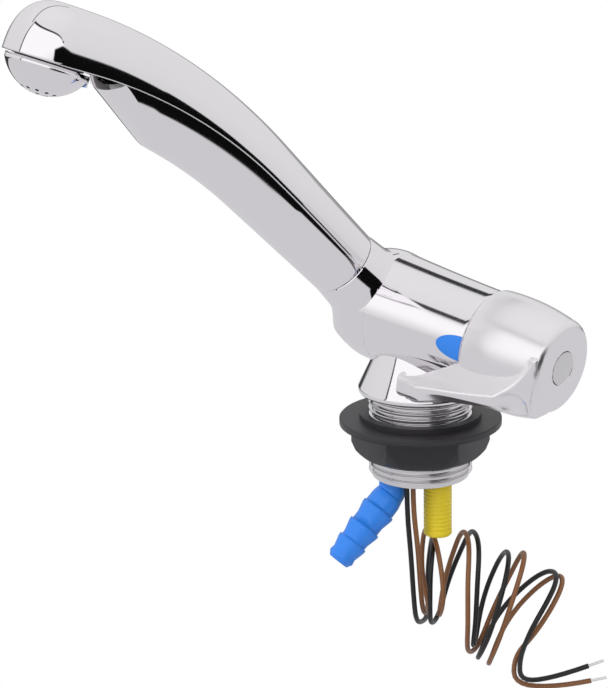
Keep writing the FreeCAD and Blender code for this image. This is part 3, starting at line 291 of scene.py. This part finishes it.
def node(tree, kind, *values, **named):
    """One shader node. Names in small letters are its settings. Values feed its inputs in their order, and
    names with a capital feed the inputs so named. A value is a number, a colour, a socket, or a node, whose
    first output it stands for."""
    made = tree.nodes.new("ShaderNode" + kind)
    settings = [name for name in named if name.islower()]
    for name in settings:
        setattr(made, name, named.pop(name))
    feeds = list(zip([socket for socket in made.inputs if socket.enabled], values))
    feeds += [(made.inputs[name.replace("_", " ")], value) for name, value in named.items()]
    for socket, value in feeds:
        if isinstance(value, bpy.types.Node):
            value = next(output for output in value.outputs if output.enabled)
        if isinstance(value, bpy.types.NodeSocket):
            tree.links.new(value, socket)
        else:
            socket.default_value = value
    return made


def new_material(name):
    """Material without nodes, and its tree."""
    material = bpy.data.materials.new(name)
    material.use_nodes = True
    material.node_tree.nodes.clear()
    return material, material.node_tree


def grained(name, grain_mm):
    """Material without a shader, its tree, and a noise of that grain on Object coordinates."""
    material, tree = new_material(name)
    place = node(tree, "TexCoord").outputs["Object"]
    return material, tree, node(tree, "TexNoise", Vector=place, Scale=1.0 / (grain_mm * MM), Detail=3.0)


def finished(material, noise, height_mm, **inputs):
    """The material with its Principled shader, whose surface rises and falls by height_mm with the noise."""
    tree = material.node_tree
    bump = node(tree, "Bump", Height=noise, Distance=height_mm * MM, Strength=1.0)
    node(tree, "OutputMaterial", node(tree, "BsdfPrincipled", Normal=bump, **inputs))
    return material


def metal(name, colour, roughness, wave_mm=9.0, wave_height=0.004, spread=0.02):
    """Metal with faint waves in its surface, and in its gloss, which runs from roughness up by spread."""
    material, tree, noise = grained(name, wave_mm)
    gloss = node(tree, "MapRange", noise, To_Min=roughness, To_Max=roughness + spread)
    return finished(material, noise, wave_height, Base_Color=linear(colour), Metallic=1.0, Roughness=gloss)


def moulded(name, colour, roughness, grain_mm=0.5, grain_height=0.01, shade=0.06):
    """Moulded plastic or rubber: a fine grain, and shade changes from the colour down by a share. A real
    mould's grain is too fine to show, so this one is drawn coarser."""
    material, tree, noise = grained(name, grain_mm)
    dark = [part * (1 - shade) for part in linear(colour)[:3]] + [1.0]
    mix = node(tree, "Mix", noise, dark, linear(colour), data_type="RGBA")
    return finished(material, noise, grain_height, Base_Color=mix, Roughness=roughness)


# Polished plate on the castings: a clear mirror with the faintest waves
CHROME = metal("chrome_plate", "#F2EFF2", 0.04)
# The same plate on the handle: a softer mirror, whose dark lines have washed edges
SOFT_CHROME = metal("brushed_chrome_plate", "#F4F1F4", 0.25)
# Plated brass from the lathe: bright, with its turning waves drawn wide enough to show
SATIN = metal("turned_brass_plated", "#E2E0E2", 0.09, wave_mm=1.2)
# Moulded acetal: an even colour with a broad soft highlight
BLUE = moulded("blue_acetal", "#2D84EA", 0.37, grain_mm=0.7)
YELLOW = moulded("yellow_acetal", "#E8CF1E", 0.42, grain_mm=0.6)
GREY = moulded("grey_acetal", "#8A8C90", 0.5)
# Moulded nylon: nearly black, with a dull grey sheen where the light grazes it
BLACK = moulded("black_nylon", "#2A282C", 0.44)
# Extruded polyethylene: milky and waxy
MILKY = moulded("milky_polyethylene", "#D8D8D4", 0.45)
# Pressed rubber: black and matt
RUBBER = moulded("black_rubber", "#1B1B1C", 0.7)
# Bare brass from the lathe: yellow, with fine uneven gloss
BRASS = metal("machined_brass", "#CDA65A", 0.22, wave_mm=0.8)
# Drawn spring steel: grey and half dull
STEEL = metal("spring_steel", "#B9BBBE", 0.3, wave_mm=0.6)
# Lapped ceramic: pale, smooth and close to glossy
CERAMIC = moulded("lapped_ceramic", "#EEEBE4", 0.25)
# Extruded wire insulation: satin, with soft shade changes about as wide as the wire
BLACK_WIRE = moulded("black_pvc_insulation", "#0D0C0D", 0.33, grain_mm=1.6, shade=0.25)
BROWN_WIRE = moulded("brown_pvc_insulation", "#8A5A34", 0.36, grain_mm=2.0, shade=0.3)
# Tinned strands: bright and pale at the bare ends
TINNED = metal("tinned_copper", "#E8E8E6", 0.2, wave_mm=0.4)

BY_SLOT = {
    "chrome": CHROME, "satin_metal": SATIN, "blue_plastic": BLUE, "black_plastic": BLACK,
    "yellow_plastic": YELLOW, "grey_plastic": GREY, "clear_tube": MILKY, "rubber": RUBBER, "brass": BRASS,
    "steel": STEEL, "ceramic": CERAMIC, "black_insulation": BLACK_WIRE, "brown_insulation": BROWN_WIRE,
    "bare_wire": TINNED,
}


# Surfaces and pieces

def surface(grid, closed=True):
    """Points and faces of a grid of points, rows by columns. Closed, its last column joins its first."""
    rows, columns = grid.shape[:2]
    index = np.arange(rows * columns).reshape(rows, columns)
    if closed:
        index = np.concatenate([index, index[:, :1]], axis=1)
    quads = np.stack([index[:-1, :-1], index[:-1, 1:], index[1:, 1:], index[1:, :-1]], axis=-1)
    return grid.reshape(-1, 3), quads.reshape(-1, 4).tolist()


def turned(profile, origin, axis, columns):
    """Points of a surface of revolution: a ring round the axis for each row (distance along it, radius)."""
    axis = unit(axis)
    across = unit(np.cross(axis, RING_START))
    other = np.cross(axis, across)
    profile = np.asarray(profile, float)
    angle = np.linspace(0, 2 * math.pi, columns, endpoint=False)
    ring = across * np.cos(angle)[:, None] + other * np.sin(angle)[:, None]
    return np.asarray(origin) + profile[:, 0, None, None] * axis + profile[:, 1, None, None] * ring


def arc_rows(radius, start, end, count):
    """Rows (distance, radius) of a circular arc about the origin: cosine and sine between two angles."""
    angle = np.radians(np.linspace(start, end, count))
    return radius * np.stack([np.cos(angle), np.sin(angle)], axis=1)


def arc_through(a, b, c, count):
    """Rows of the circular arc through three (distance, radius) points. Its centre is as far from each of
    them, which gives two linear equations, and its angle turns the short way from the first to the last."""
    a, b, c = (np.array(p, float) for p in (a, b, c))
    centre = np.linalg.solve(np.array([b - a, c - a]) * 2, [b @ b - a @ a, c @ c - a @ a])
    start, end = (math.atan2(*(p - centre)[::-1]) for p in (a, c))
    end += 2 * math.pi * round((start - end) / (2 * math.pi))
    angle = np.linspace(start, end, count)
    return centre + np.linalg.norm(a - centre) * np.stack([np.cos(angle), np.sin(angle)], axis=1)


def joined(mesh, distance, outward=False):
    """The mesh with points that lie within a distance merged, and its faces turned outwards on request."""
    bm = bmesh.new()
    bm.from_mesh(mesh)
    bmesh.ops.remove_doubles(bm, verts=bm.verts, dist=distance)
    if outward:
        bmesh.ops.recalc_face_normals(bm, faces=bm.faces)
    bm.to_mesh(mesh)
    bm.free()
    return mesh


def add_piece(name, mesh, body, nodes, material, sharp):
    """Object of a smoothly shaded mesh that rides on a body and stands for CAD nodes."""
    mesh.shade_smooth()
    mesh.set_sharp_from_angle(angle=math.radians(sharp))
    mesh.materials.clear()
    mesh.materials.append(material)
    obj = bpy.data.objects.new(name, mesh)
    bpy.context.scene.collection.objects.link(obj)
    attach(obj, body)
    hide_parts(*nodes)
    return obj


def add_surfaces(name, parts, body, nodes, material, sharp=SHARP):
    """One piece from several (points, faces) in millimetres."""
    starts = np.cumsum([0] + [len(points) for points, _ in parts[:-1]])
    faces = [[i + start for i in face] for start, (_, part) in zip(starts.tolist(), parts) for face in part]
    mesh = bpy.data.meshes.new(name)
    mesh.from_pydata((np.concatenate([points for points, _ in parts]) * MM).tolist(), [], faces)
    return add_piece(name, joined(mesh, SURFACE_JOIN, outward=True), body, nodes, material, sharp)


def final_mesh(obj):
    """The object's mesh with its modifiers applied."""
    bpy.context.view_layer.update()
    return bpy.data.meshes.new_from_object(obj.evaluated_get(bpy.context.evaluated_depsgraph_get()))


def thicken(obj, wall, edge):
    """Gives an open shell its wall inwards, rounds its edges and makes both final."""
    solid = obj.modifiers.new("wall", "SOLIDIFY")
    solid.thickness = wall * MM
    solid.offset = -1
    rounding = obj.modifiers.new("edges", "BEVEL")
    rounding.width = edge * MM
    rounding.segments = 3
    rounding.limit_method = "ANGLE"
    rounding.angle_limit = math.radians(40)
    mesh = final_mesh(obj)
    obj.modifiers.clear()
    obj.data = mesh


# Casting

BARREL_AXIS = np.array([math.cos(math.radians(BARREL_TILT)), 0.0, -math.sin(math.radians(BARREL_TILT))])
SPOUT_AHEAD = np.array([-math.sin(math.radians(SPOUT_TURNED)), -math.cos(math.radians(SPOUT_TURNED)), 0.0])
SPOUT_SIDE = np.array([math.cos(math.radians(SPOUT_TURNED)), -math.sin(math.radians(SPOUT_TURNED)), 0.0])
NECK_AXIS = SPOUT_AHEAD * math.cos(math.radians(NECK_RISE)) + UP * math.sin(math.radians(NECK_RISE))


def barrel_rows():
    """Ball end, the waisted barrel on one arc through three points, and its end with a shallow cone in it."""
    end, end_r = BARREL_END
    crease = math.degrees(math.acos(BARREL_START[0] / BALL_R))
    rows = np.concatenate([
        arc_rows(BALL_R, 180, crease, PROFILE_ROWS),
        arc_through(BARREL_START, BARREL_WAIST, BARREL_END, PROFILE_ROWS)[:-1],
        [[end - BARREL_EDGE, end_r], [end, end_r - BARREL_EDGE]],
        [[end, BARREL_DIMPLE], [end - BARREL_DIMPLE, 0.0]],
    ])
    rows[0, 1] = 0.0
    return rows


def neck_rows():
    """Neck: a straight taper from root to seam, plus a flare that grows as the square of the way inwards."""
    at = np.linspace(NECK_HIDDEN_START, NECK_LENGTH - NECK_EDGE, PROFILE_ROWS)
    radius = NECK_ROOT_R + (NECK_SEAM_R - NECK_ROOT_R) * at / NECK_LENGTH
    radius += NECK_FLARE * np.clip((NECK_FLARE_END - at) / NECK_FLARE_RUN, 0, 1) ** 2
    return np.concatenate([[[NECK_HIDDEN_START, 0.0]], np.stack([at, radius], axis=1),
                           [[NECK_LENGTH, NECK_SEAM_R - NECK_EDGE], [NECK_LENGTH, 0.0]]])


def collar_rows():
    """Collar: a cone down to a softly rounded rim, a flat foot and a hollow, closed inside the casting."""
    top, top_r = COLLAR_HIDDEN_TOP
    hollow, hollow_r = COLLAR_HOLLOW
    rim = [[height, COLLAR_R - inset] for height, inset in COLLAR_RIM]
    return np.array([[top, 0.0], [top, top_r], [COLLAR_HEIGHT, COLLAR_TOP_R], *rim,
                     [0.0, hollow_r], [hollow, hollow_r], [hollow, 0.0]])


def add_body(material):
    """Casting: ball end with barrel, neck and collar, each a turned surface about its own axis."""
    parts = [
        surface(turned(barrel_rows(), BALL_CENTRE, BARREL_AXIS, BARREL_COLUMNS)),
        surface(turned(neck_rows(), NECK_ROOT, NECK_AXIS, NECK_COLUMNS)),
        surface(turned(collar_rows(), np.zeros(3), UP, COLLAR_COLUMNS)),
    ]
    add_surfaces("body_casting", parts, "tap_body", ["body_shell"], material)


def add_shank(material):
    """Threaded shank: rings of the thread's pitch on a hollow stem, turned about the vertical."""
    ring = THREAD_RING * [THREAD_PITCH / 2, THREAD_DEPTH]
    tops = THREAD_TOP - THREAD_PITCH * np.arange(THREAD_RINGS)
    thread = np.concatenate([np.stack([top - ring[:, 0], SHANK_CORE_R + ring[:, 1]], axis=1) for top in tops])
    rows = np.concatenate([
        [[SHANK_TOP, SHANK_BORE_R], [SHANK_TOP, SHANK_CORE_R]], thread,
        [[SHANK_BOTTOM + SHANK_FOOT_EDGE, SHANK_CORE_R], [SHANK_BOTTOM, SHANK_CORE_R - SHANK_FOOT_EDGE],
         [SHANK_BOTTOM, SHANK_BORE_R], [SHANK_TOP, SHANK_BORE_R]],
    ])
    parts = [surface(turned(rows, np.zeros(3), UP, SHANK_COLUMNS))]
    add_surfaces("shank", parts, "tap_body", ["threaded_shank"], material, THREAD_SHARP)


# Spout

def spout_path(station):
    """Distance ahead, height and angle of the spout's path at stations along it: a straight rise, then an arc
    that lowers the angle evenly, then a straight end."""
    station = np.asarray(station, float)
    rise = math.radians(NECK_RISE)
    straight = np.minimum(station, SPOUT_STRAIGHT)
    angle = rise - np.clip(station - SPOUT_STRAIGHT, 0, SPOUT_ARC_LENGTH) / SPOUT_ARC_R
    rest = np.maximum(0, station - SPOUT_STRAIGHT - SPOUT_ARC_LENGTH)
    ahead = straight * math.cos(rise) + SPOUT_ARC_R * (math.sin(rise) - np.sin(angle)) + rest * np.cos(angle)
    up = straight * math.sin(rise) + SPOUT_ARC_R * (np.cos(angle) - math.cos(rise)) + rest * np.sin(angle)
    return ahead, up, angle


def spout_points(ahead, side, up):
    """World points of the spout's upright plane (ahead, up) and its side distance."""
    return NECK_ROOT + ahead[..., None] * SPOUT_AHEAD + side[..., None] * SPOUT_SIDE + up[..., None] * UP


def spout_sides(station):
    """Half width, height above and depth below the path, and the parting line's lift, at stations along it.
    The half width grows evenly after the neck and before the head. The heights run evenly from neck to
    head, plus a swell of the top towards the head, a parabola that lifts the keel, and one that lifts the
    parting line."""
    share = (station - NECK_LENGTH) / (SPOUT_LENGTH - NECK_LENGTH)
    parabola = 4 * share * (1 - share)
    half = (NECK_SEAM_R + (SPOUT_HALF - NECK_SEAM_R) * np.clip((station - NECK_LENGTH) / SPOUT_WIDENING, 0, 1)
            + (HEAD_HALF - SPOUT_HALF) * np.clip((station - SPOUT_LENGTH) / SPOUT_WIDENING + 1, 0, 1))
    top = SPOUT_TOP[0] + (SPOUT_TOP[1] - SPOUT_TOP[0]) * share + SPOUT_SWELL * share ** 2 * parabola
    bottom = SPOUT_BOTTOM[0] + (SPOUT_BOTTOM[1] - SPOUT_BOTTOM[0]) * share - KEEL_RISE * parabola
    return half, top, bottom, PARTING_BOW * parabola


def bent(value, power):
    """Cosine or sine raised to 2 / power with its sign kept, which bends a circle to a fuller oval."""
    return np.sign(value) * np.abs(value) ** (2.0 / power)


def add_spout_upper(material):
    """Upper shell: half-oval sections carried along the path, fuller towards the head, and the last of them
    swung forwards through a quarter turn to a dome round the shower head."""
    stations = np.linspace(SEAM_STATION, SPOUT_LENGTH, SHELL_ROWS)
    ahead, up, angle = spout_path(stations)
    half, top, _, lift = spout_sides(stations)
    near_head = np.clip((stations - SPOUT_LENGTH) / (2 * SPOUT_WIDENING) + 1, 0, 1)
    power = OVAL_POWER[0] + (OVAL_POWER[1] - OVAL_POWER[0]) * near_head
    theta = np.linspace(math.pi, 0, SHELL_COLUMNS)
    side = half[:, None] * bent(np.cos(theta), power[:, None])
    rise = lift[:, None] + (top - lift)[:, None] * bent(np.sin(theta), power[:, None])
    shell = spout_points(ahead[:, None] - rise * np.sin(angle)[:, None], side,
                         up[:, None] + rise * np.cos(angle)[:, None])
    azimuth = np.linspace(0, math.pi / 2, DOME_ROWS)[1:, None]
    out = half[-1] * bent(np.cos(theta), power[-1])
    rise = top[-1] * bent(np.sin(theta), power[-1]) + 0 * azimuth
    forward = np.abs(out) * np.sin(azimuth)
    dome = spout_points(ahead[-1] + forward * math.cos(angle[-1]) - rise * math.sin(angle[-1]),
                        out * np.cos(azimuth),
                        up[-1] + forward * math.sin(angle[-1]) + rise * math.cos(angle[-1]))
    parts = [surface(np.concatenate([shell, dome]), closed=False)]
    obj = add_surfaces("spout_upper", parts, "spout", ["spout_upper_shell"], material)
    thicken(obj, SPOUT_WALL, SPOUT_EDGE)


def add_spout_lower(material):
    """Lower shell: half-oval keel along the path, closed by a rounded bow behind the shower head. Each line
    along the keel runs from the seam to where it meets the bow's cylinder, found by halving the interval."""
    theta = np.linspace(math.pi, 2 * math.pi, KEEL_COLUMNS)
    ahead, up, angle = spout_path(SPOUT_LENGTH)
    top = np.array([ahead - BOW_BACK * math.cos(angle), up - BOW_BACK * math.sin(angle)])
    ahead, up, angle = spout_path(BOW_STATION)
    depth = spout_sides(BOW_STATION)[2]
    base = np.array([ahead + depth * math.sin(angle), up - depth * math.cos(angle)])
    slope = unit(top - base)
    face = np.array([slope[1], -slope[0]])

    def keel(station):
        ahead, up, angle = spout_path(station)
        half, _, bottom, lift = spout_sides(station)
        rise = lift + (bottom + lift) * np.sin(theta)
        return ahead - rise * np.sin(angle), half * np.cos(theta), up + rise * np.cos(angle)

    def beyond(station):
        ahead, side, up = keel(station)
        out = (ahead - base[0]) * face[0] + (up - base[1]) * face[1] + BOW_R
        return np.sign(out) * np.hypot(out, side) - BOW_R > 0

    low = np.full(theta.shape, BOW_STATION - BOW_SEARCH)
    high = np.full(theta.shape, SPOUT_LENGTH)
    for _ in range(HALVINGS):
        middle = (low + high) / 2
        over = beyond(middle)
        high = np.where(over, middle, high)
        low = np.where(over, low, middle)
    share = np.linspace(0, 1, KEEL_ROWS)[:, None]
    keel_grid = spout_points(*keel(SEAM_STATION + (low - SEAM_STATION) * share))
    ahead, side, up = keel(low)
    toward = np.linspace(1, 0, BOW_ROWS)[:, None]
    across = side * toward
    setback = BOW_R - np.sqrt(BOW_R ** 2 - across ** 2)
    along_edge = (ahead - base[0]) * slope[0] + (up - base[1]) * slope[1]
    top_edge = along_edge[[0, -1]].mean()
    along = top_edge + (along_edge - top_edge) * toward
    bow_grid = spout_points(base[0] + slope[0] * along - face[0] * setback, across,
                            base[1] + slope[1] * along - face[1] * setback)
    parts = [surface(keel_grid, closed=False), surface(bow_grid, closed=False)]
    obj = add_surfaces("spout_lower", parts, "spout", ["spout_lower_shell"], material, KEEL_SHARP)
    thicken(obj, SPOUT_WALL, SPOUT_EDGE)


# Copies of CAD nodes

def add_copy(name, body, material):
    """Copy of a CAD node with its points joined and its round faces shaded smooth."""
    mesh = joined(frame["nodes"][name].data.copy(), COPY_JOIN)
    return add_piece(name + "_dressed", mesh, body, [name], material, COPY_SHARP)


def add_handle(material):
    """Copy of the handle, remeshed and smoothed, so that its edges are round as on a polished casting."""
    mesh = joined(frame["nodes"]["handle"].data.copy(), COPY_JOIN)
    obj = bpy.data.objects.new("handle_cast", mesh)
    bpy.context.scene.collection.objects.link(obj)
    remesh = obj.modifiers.new("remesh", "REMESH")
    remesh.mode = "VOXEL"
    remesh.voxel_size = HANDLE_VOXEL * MM
    smooth = obj.modifiers.new("smooth", "SMOOTH")
    smooth.factor = 0.5
    smooth.iterations = HANDLE_ROUNDS
    final = final_mesh(obj)
    bpy.data.objects.remove(obj)
    add_piece("handle_dressed", final, "handle_set", ["handle"], material, ALL_SMOOTH)


def paint_hole_shade(obj, material):
    """Painted shade in the chrome rose's fine holes: the faces near the rose's axis that stand along it take
    the dark material.
    """
    ahead, up, angle = spout_path(SPOUT_LENGTH)
    centre = NECK_ROOT + ahead * SPOUT_AHEAD + up * UP
    axis = np.cos(angle) * UP - np.sin(angle) * SPOUT_AHEAD
    faces = obj.data.polygons
    centres = np.empty(3 * len(faces))
    normals = np.empty(3 * len(faces))
    faces.foreach_get("center", centres)
    faces.foreach_get("normal", normals)
    offset = centres.reshape(-1, 3) / MM - centre
    away = np.linalg.norm(offset - (offset @ axis)[:, None] * axis, axis=1)
    walls = (away < ROSE_HOLES_R) & (np.abs(normals.reshape(-1, 3) @ axis) < HOLE_WALL_FACING)
    obj.data.materials.append(material)
    faces.foreach_set("material_index", walls.astype(np.int32))


# Wires

def lay(points):
    """World points, in millimetres, of a wire route's (along, out, up)."""
    turn = math.radians(LAY_TURNED)
    p = np.array(points, float)
    return np.stack([p[:, 0] * math.cos(turn) + p[:, 1] * math.sin(turn),
                     p[:, 0] * math.sin(turn) - p[:, 1] * math.cos(turn), p[:, 2]], axis=1)


def coil_points(points, first, last):
    """Points along a coil from its quarter-turn points: cubic spans whose end slopes are a fixed share of the
    chord between the neighbours, which draws a quarter circle almost round."""
    slopes = np.empty_like(points)
    slopes[1:-1] = ROUND_SLOPE * (points[2:] - points[:-2])
    slopes[0] = unit(first) * np.linalg.norm(slopes[1])
    slopes[-1] = unit(last) * np.linalg.norm(slopes[-2])
    t = np.arange(POINTS_PER_QUARTER)[None, :, None] / POINTS_PER_QUARTER
    p0, p1 = points[:-1, None], points[1:, None]
    m0, m1 = slopes[:-1, None], slopes[1:, None]
    spans = ((2 * t ** 3 - 3 * t ** 2 + 1) * p0 + (t ** 3 - 2 * t ** 2 + t) * m0
             + (-2 * t ** 3 + 3 * t ** 2) * p1 + (t ** 3 - t ** 2) * m1)
    return np.concatenate([spans.reshape(-1, 3), points[-1:]])


def port_exit(side, z):
    """Place of a wire in the port block's hole, at a height, in millimetres."""
    turn = math.radians(LAY_TURNED)
    x, y = WIRE_PORT + side * WIRE_PAIR * np.array([math.cos(turn), math.sin(turn)])
    return np.array([x, y, z])


def add_wire(colour, side, drop, coil, tail, material):
    """One wire from the port to its bare end: drop, coil turns and free end on one smooth spline."""
    start = np.array([port_exit(side, SHANK_BOTTOM), port_exit(side, drop[0][2])])
    drop, coil, tail = lay(drop), lay(coil), lay(tail)
    turns = coil_points(coil, drop[-1] - drop[-2], tail[1] - tail[0])
    points = np.concatenate([start, drop[1:-1], turns, tail[1:]]) * MM
    curve = bpy.data.curves.new(colour + "_wire", "CURVE")
    curve.dimensions = "3D"
    curve.bevel_depth = WIRE_R * MM
    curve.bevel_resolution = 6
    curve.resolution_u = 5
    curve.use_fill_caps = True
    curve.materials.append(material)
    spline = curve.splines.new("NURBS")
    spline.points.add(len(points) - 1)
    spline.points.foreach_set("co", np.concatenate([points, np.ones((len(points), 1))], axis=1).ravel())
    spline.order_u = 3
    spline.use_endpoint_u = True
    obj = bpy.data.objects.new(colour + "_wire", curve)
    bpy.context.scene.collection.objects.link(obj)
    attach(obj, "tap_body")
    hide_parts(colour + "_wire_drop", colour + "_wire_coil", colour + "_wire_tail")


# Studio

def neutral(grey):
    """Colour of a grey with the studio's touch of blue."""
    return (grey, grey, grey * STUDIO_BLUE, 1.0)


def window(tree, across, along, sides, soft, *fades):
    """Mask of a soft-edged window: the product of a smooth step at each of its sides (left, right, low,
    high) in the two coordinates, and of any fades, each a (coordinate, its value at 0, its value at 1)."""
    left, right, low, high = sides
    steps = [(across, left - soft, left + soft), (across, right + soft, right - soft),
             (along, low - soft, low + soft), (along, high + soft, high - soft), *fades]
    mask = 1.0
    for value, nothing, full in steps:
        step = node(tree, "MapRange", value, nothing, full, interpolation_type="SMOOTHSTEP")
        mask = node(tree, "Math", mask, step, operation="MULTIPLY")
    return mask


def add_light():
    """Soft studio, white to the eye. The chrome mirrors a pale surround that brightens upwards, with patches
    painted on it: a bright window before the tap and its dark frame, a dark flag on the right, a dim strip
    behind and a thin dark bar overhead. Heights are above level, or above the window's or the flag's top."""
    world = bpy.data.worlds.new("studio")
    bpy.context.scene.world = world
    world.use_nodes = True
    tree = world.node_tree
    tree.nodes.clear()
    x, y, z = node(tree, "SeparateXYZ", node(tree, "TexCoord").outputs["Generated"]).outputs
    turn = node(tree, "Math", node(tree, "Math", y, x, operation="ARCTAN2"), operation="DEGREES")
    rise = node(tree, "Math", node(tree, "Math", z, operation="ARCSINE"), operation="DEGREES")
    colour = node(tree, "ValToRGB", node(tree, "MapRange", z, -1.0, 1.0))
    elements = colour.color_ramp.elements
    while len(elements) < len(SURROUND):
        elements.new(0.5)
    for element, (position, grey) in zip(elements, SURROUND):
        element.position = position
        element.color = neutral(grey)
    flag_lines = [node(tree, "MapRange", turn, *FLAG_SPAN, *ends) for ends in FLAG_LINES]
    flag_top = node(tree, "Math", *flag_lines, operation="MINIMUM")
    above_flag = node(tree, "Math", rise, flag_top, operation="SUBTRACT")
    share = node(tree, "MapRange", turn, *LINTEL_SPAN)
    square = node(tree, "Math", share, share, operation="MULTIPLY")
    fall = node(tree, "Math", node(tree, "Math", 1.0, square, operation="SUBTRACT"), operation="SQRT")
    lintel = node(tree, "Math", fall, LINTEL_RISE, LINTEL_LOW, operation="MULTIPLY_ADD")
    above_lintel = node(tree, "Math", rise, lintel, operation="SUBTRACT")
    painted = [
        (WINDOW, turn, above_lintel, (rise, *WINDOW_FADE)),
        (LINTEL_LINE, turn, above_lintel),
        (JAMB_LINE, turn, above_lintel),
        (FLAG, turn, above_flag),
        (STRIP, turn, rise),
        (BAR, x, y, (rise, *BAR_FADE)),
    ]
    for (sides, soft, grey), across, along, *fades in painted:
        mask = window(tree, across, along, sides, soft, *fades)
        colour = node(tree, "Mix", mask, colour, neutral(grey), data_type="RGBA")
    mirrored = node(tree, "Background", colour)
    seen = node(tree, "Background", (1.0, 1.0, 1.0, 1.0))
    to_camera = node(tree, "LightPath").outputs["Is Camera Ray"]
    node(tree, "OutputWorld", node(tree, "MixShader", to_camera, mirrored, seen))


def add_floor():
    """Floor below the wires, white to the eye. The chrome mirrors it pale, with a dark ground on the tap's
    right, whose near and far edges slant, and a dark far side."""
    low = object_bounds()[0][2] - FLOOR_GAP
    mesh = bpy.data.meshes.new("floor")
    corners = [(x * FLOOR_REACH, y * FLOOR_REACH, low) for x, y in ((-1, -1), (1, -1), (1, 1), (-1, 1))]
    mesh.from_pydata(corners, [], [(0, 1, 2, 3)])
    obj = bpy.data.objects.new("floor", mesh)
    bpy.context.scene.collection.objects.link(obj)
    material, tree = new_material("pale_paper")
    x, y, _ = node(tree, "SeparateXYZ", node(tree, "TexCoord").outputs["Object"]).outputs
    start = node(tree, "MapRange", y, *GROUND_SPAN, *GROUND_START)
    beyond = node(tree, "Math", x, start, operation="SUBTRACT")
    sloped = node(tree, "Math", x, GROUND_SLOPE, operation="MULTIPLY")
    aslant = node(tree, "Math", y, sloped, operation="SUBTRACT")
    behind = node(tree, "Math", y, x, operation="SUBTRACT")
    sides, soft, ground_grey = GROUND
    ground = window(tree, beyond, y, sides, soft, (aslant, *GROUND_FADE))
    far = node(tree, "MapRange", behind, *FAR_SIDE, interpolation_type="SMOOTHSTEP")
    to_camera = node(tree, "LightPath").outputs["Is Camera Ray"]
    colour = FLOOR_TONE
    for mask, grey in ((ground, ground_grey), (far, FAR_GREY), (to_camera, 1.0)):
        colour = node(tree, "Mix", mask, colour, neutral(grey), data_type="RGBA")
    shader = node(tree, "BsdfPrincipled", Base_Color=(0.0, 0.0, 0.0, 1.0), Specular_IOR_Level=0.0,
                  Emission_Color=colour, Emission_Strength=1.0)
    node(tree, "OutputMaterial", shader)
    mesh.materials.append(material)


def add_lamp(name, place, target, size, power):
    """Square soft lamp aimed at a point, in metres and watts. Mirrors don't show it."""
    lamp = bpy.data.lights.new(name, "AREA")
    lamp.size = size
    lamp.energy = power
    obj = bpy.data.objects.new(name, lamp)
    obj.location = place
    obj.rotation_euler = (Vector(target) - Vector(place)).to_track_quat("-Z", "Y").to_euler()
    obj.visible_glossy = False
    bpy.context.scene.collection.objects.link(obj)


# The whole tap: every CAD node gets its finish, and the pieces that show get their finer surfaces

add_camera()
bpy.context.scene.view_settings.view_transform = "Standard"

for entry in frame["record"]["subparts"]:
    obj = frame["nodes"][entry["node"]]
    obj.data.materials.clear()
    obj.data.materials.append(BY_SLOT[entry["material_slot"]])

add_wire("black", -1, BLACK_DROP, BLACK_COIL, BLACK_TAIL, BLACK_WIRE)
add_wire("brown", 1, BROWN_DROP, BROWN_COIL, BROWN_TAIL, BROWN_WIRE)
add_body(CHROME)
add_spout_upper(CHROME)
add_spout_lower(CHROME)
add_shank(SATIN)
add_handle(SOFT_CHROME)
# The walls of the rose's holes take the black rubber finish as painted shade of the deep holes, not as rubber
paint_hole_shade(add_copy("outlet_rose", "spout", CHROME), RUBBER)
for name, body, slot in (
    ("mounting_nut", "nut", "black_plastic"),
    ("nut_washer", "washer", "black_plastic"),
    ("hose_tail", "hose_elbow", "blue_plastic"),
    ("blanking_plug", "tap_body", "yellow_plastic"),
    ("screw_cap", "handle_set", "satin_metal"),
    ("blue_marker", "tap_body", "blue_plastic"),
):
    add_copy(name, body, BY_SLOT[slot])
add_light()
add_floor()
add_lamp("key", place=(-0.5, -0.9, 0.9), target=(0.0, -0.04, 0.02), size=0.5, power=6)
add_lamp("fill", place=(0.9, -0.5, 0.5), target=(0.0, 0.0, 0.0), size=0.5, power=2)
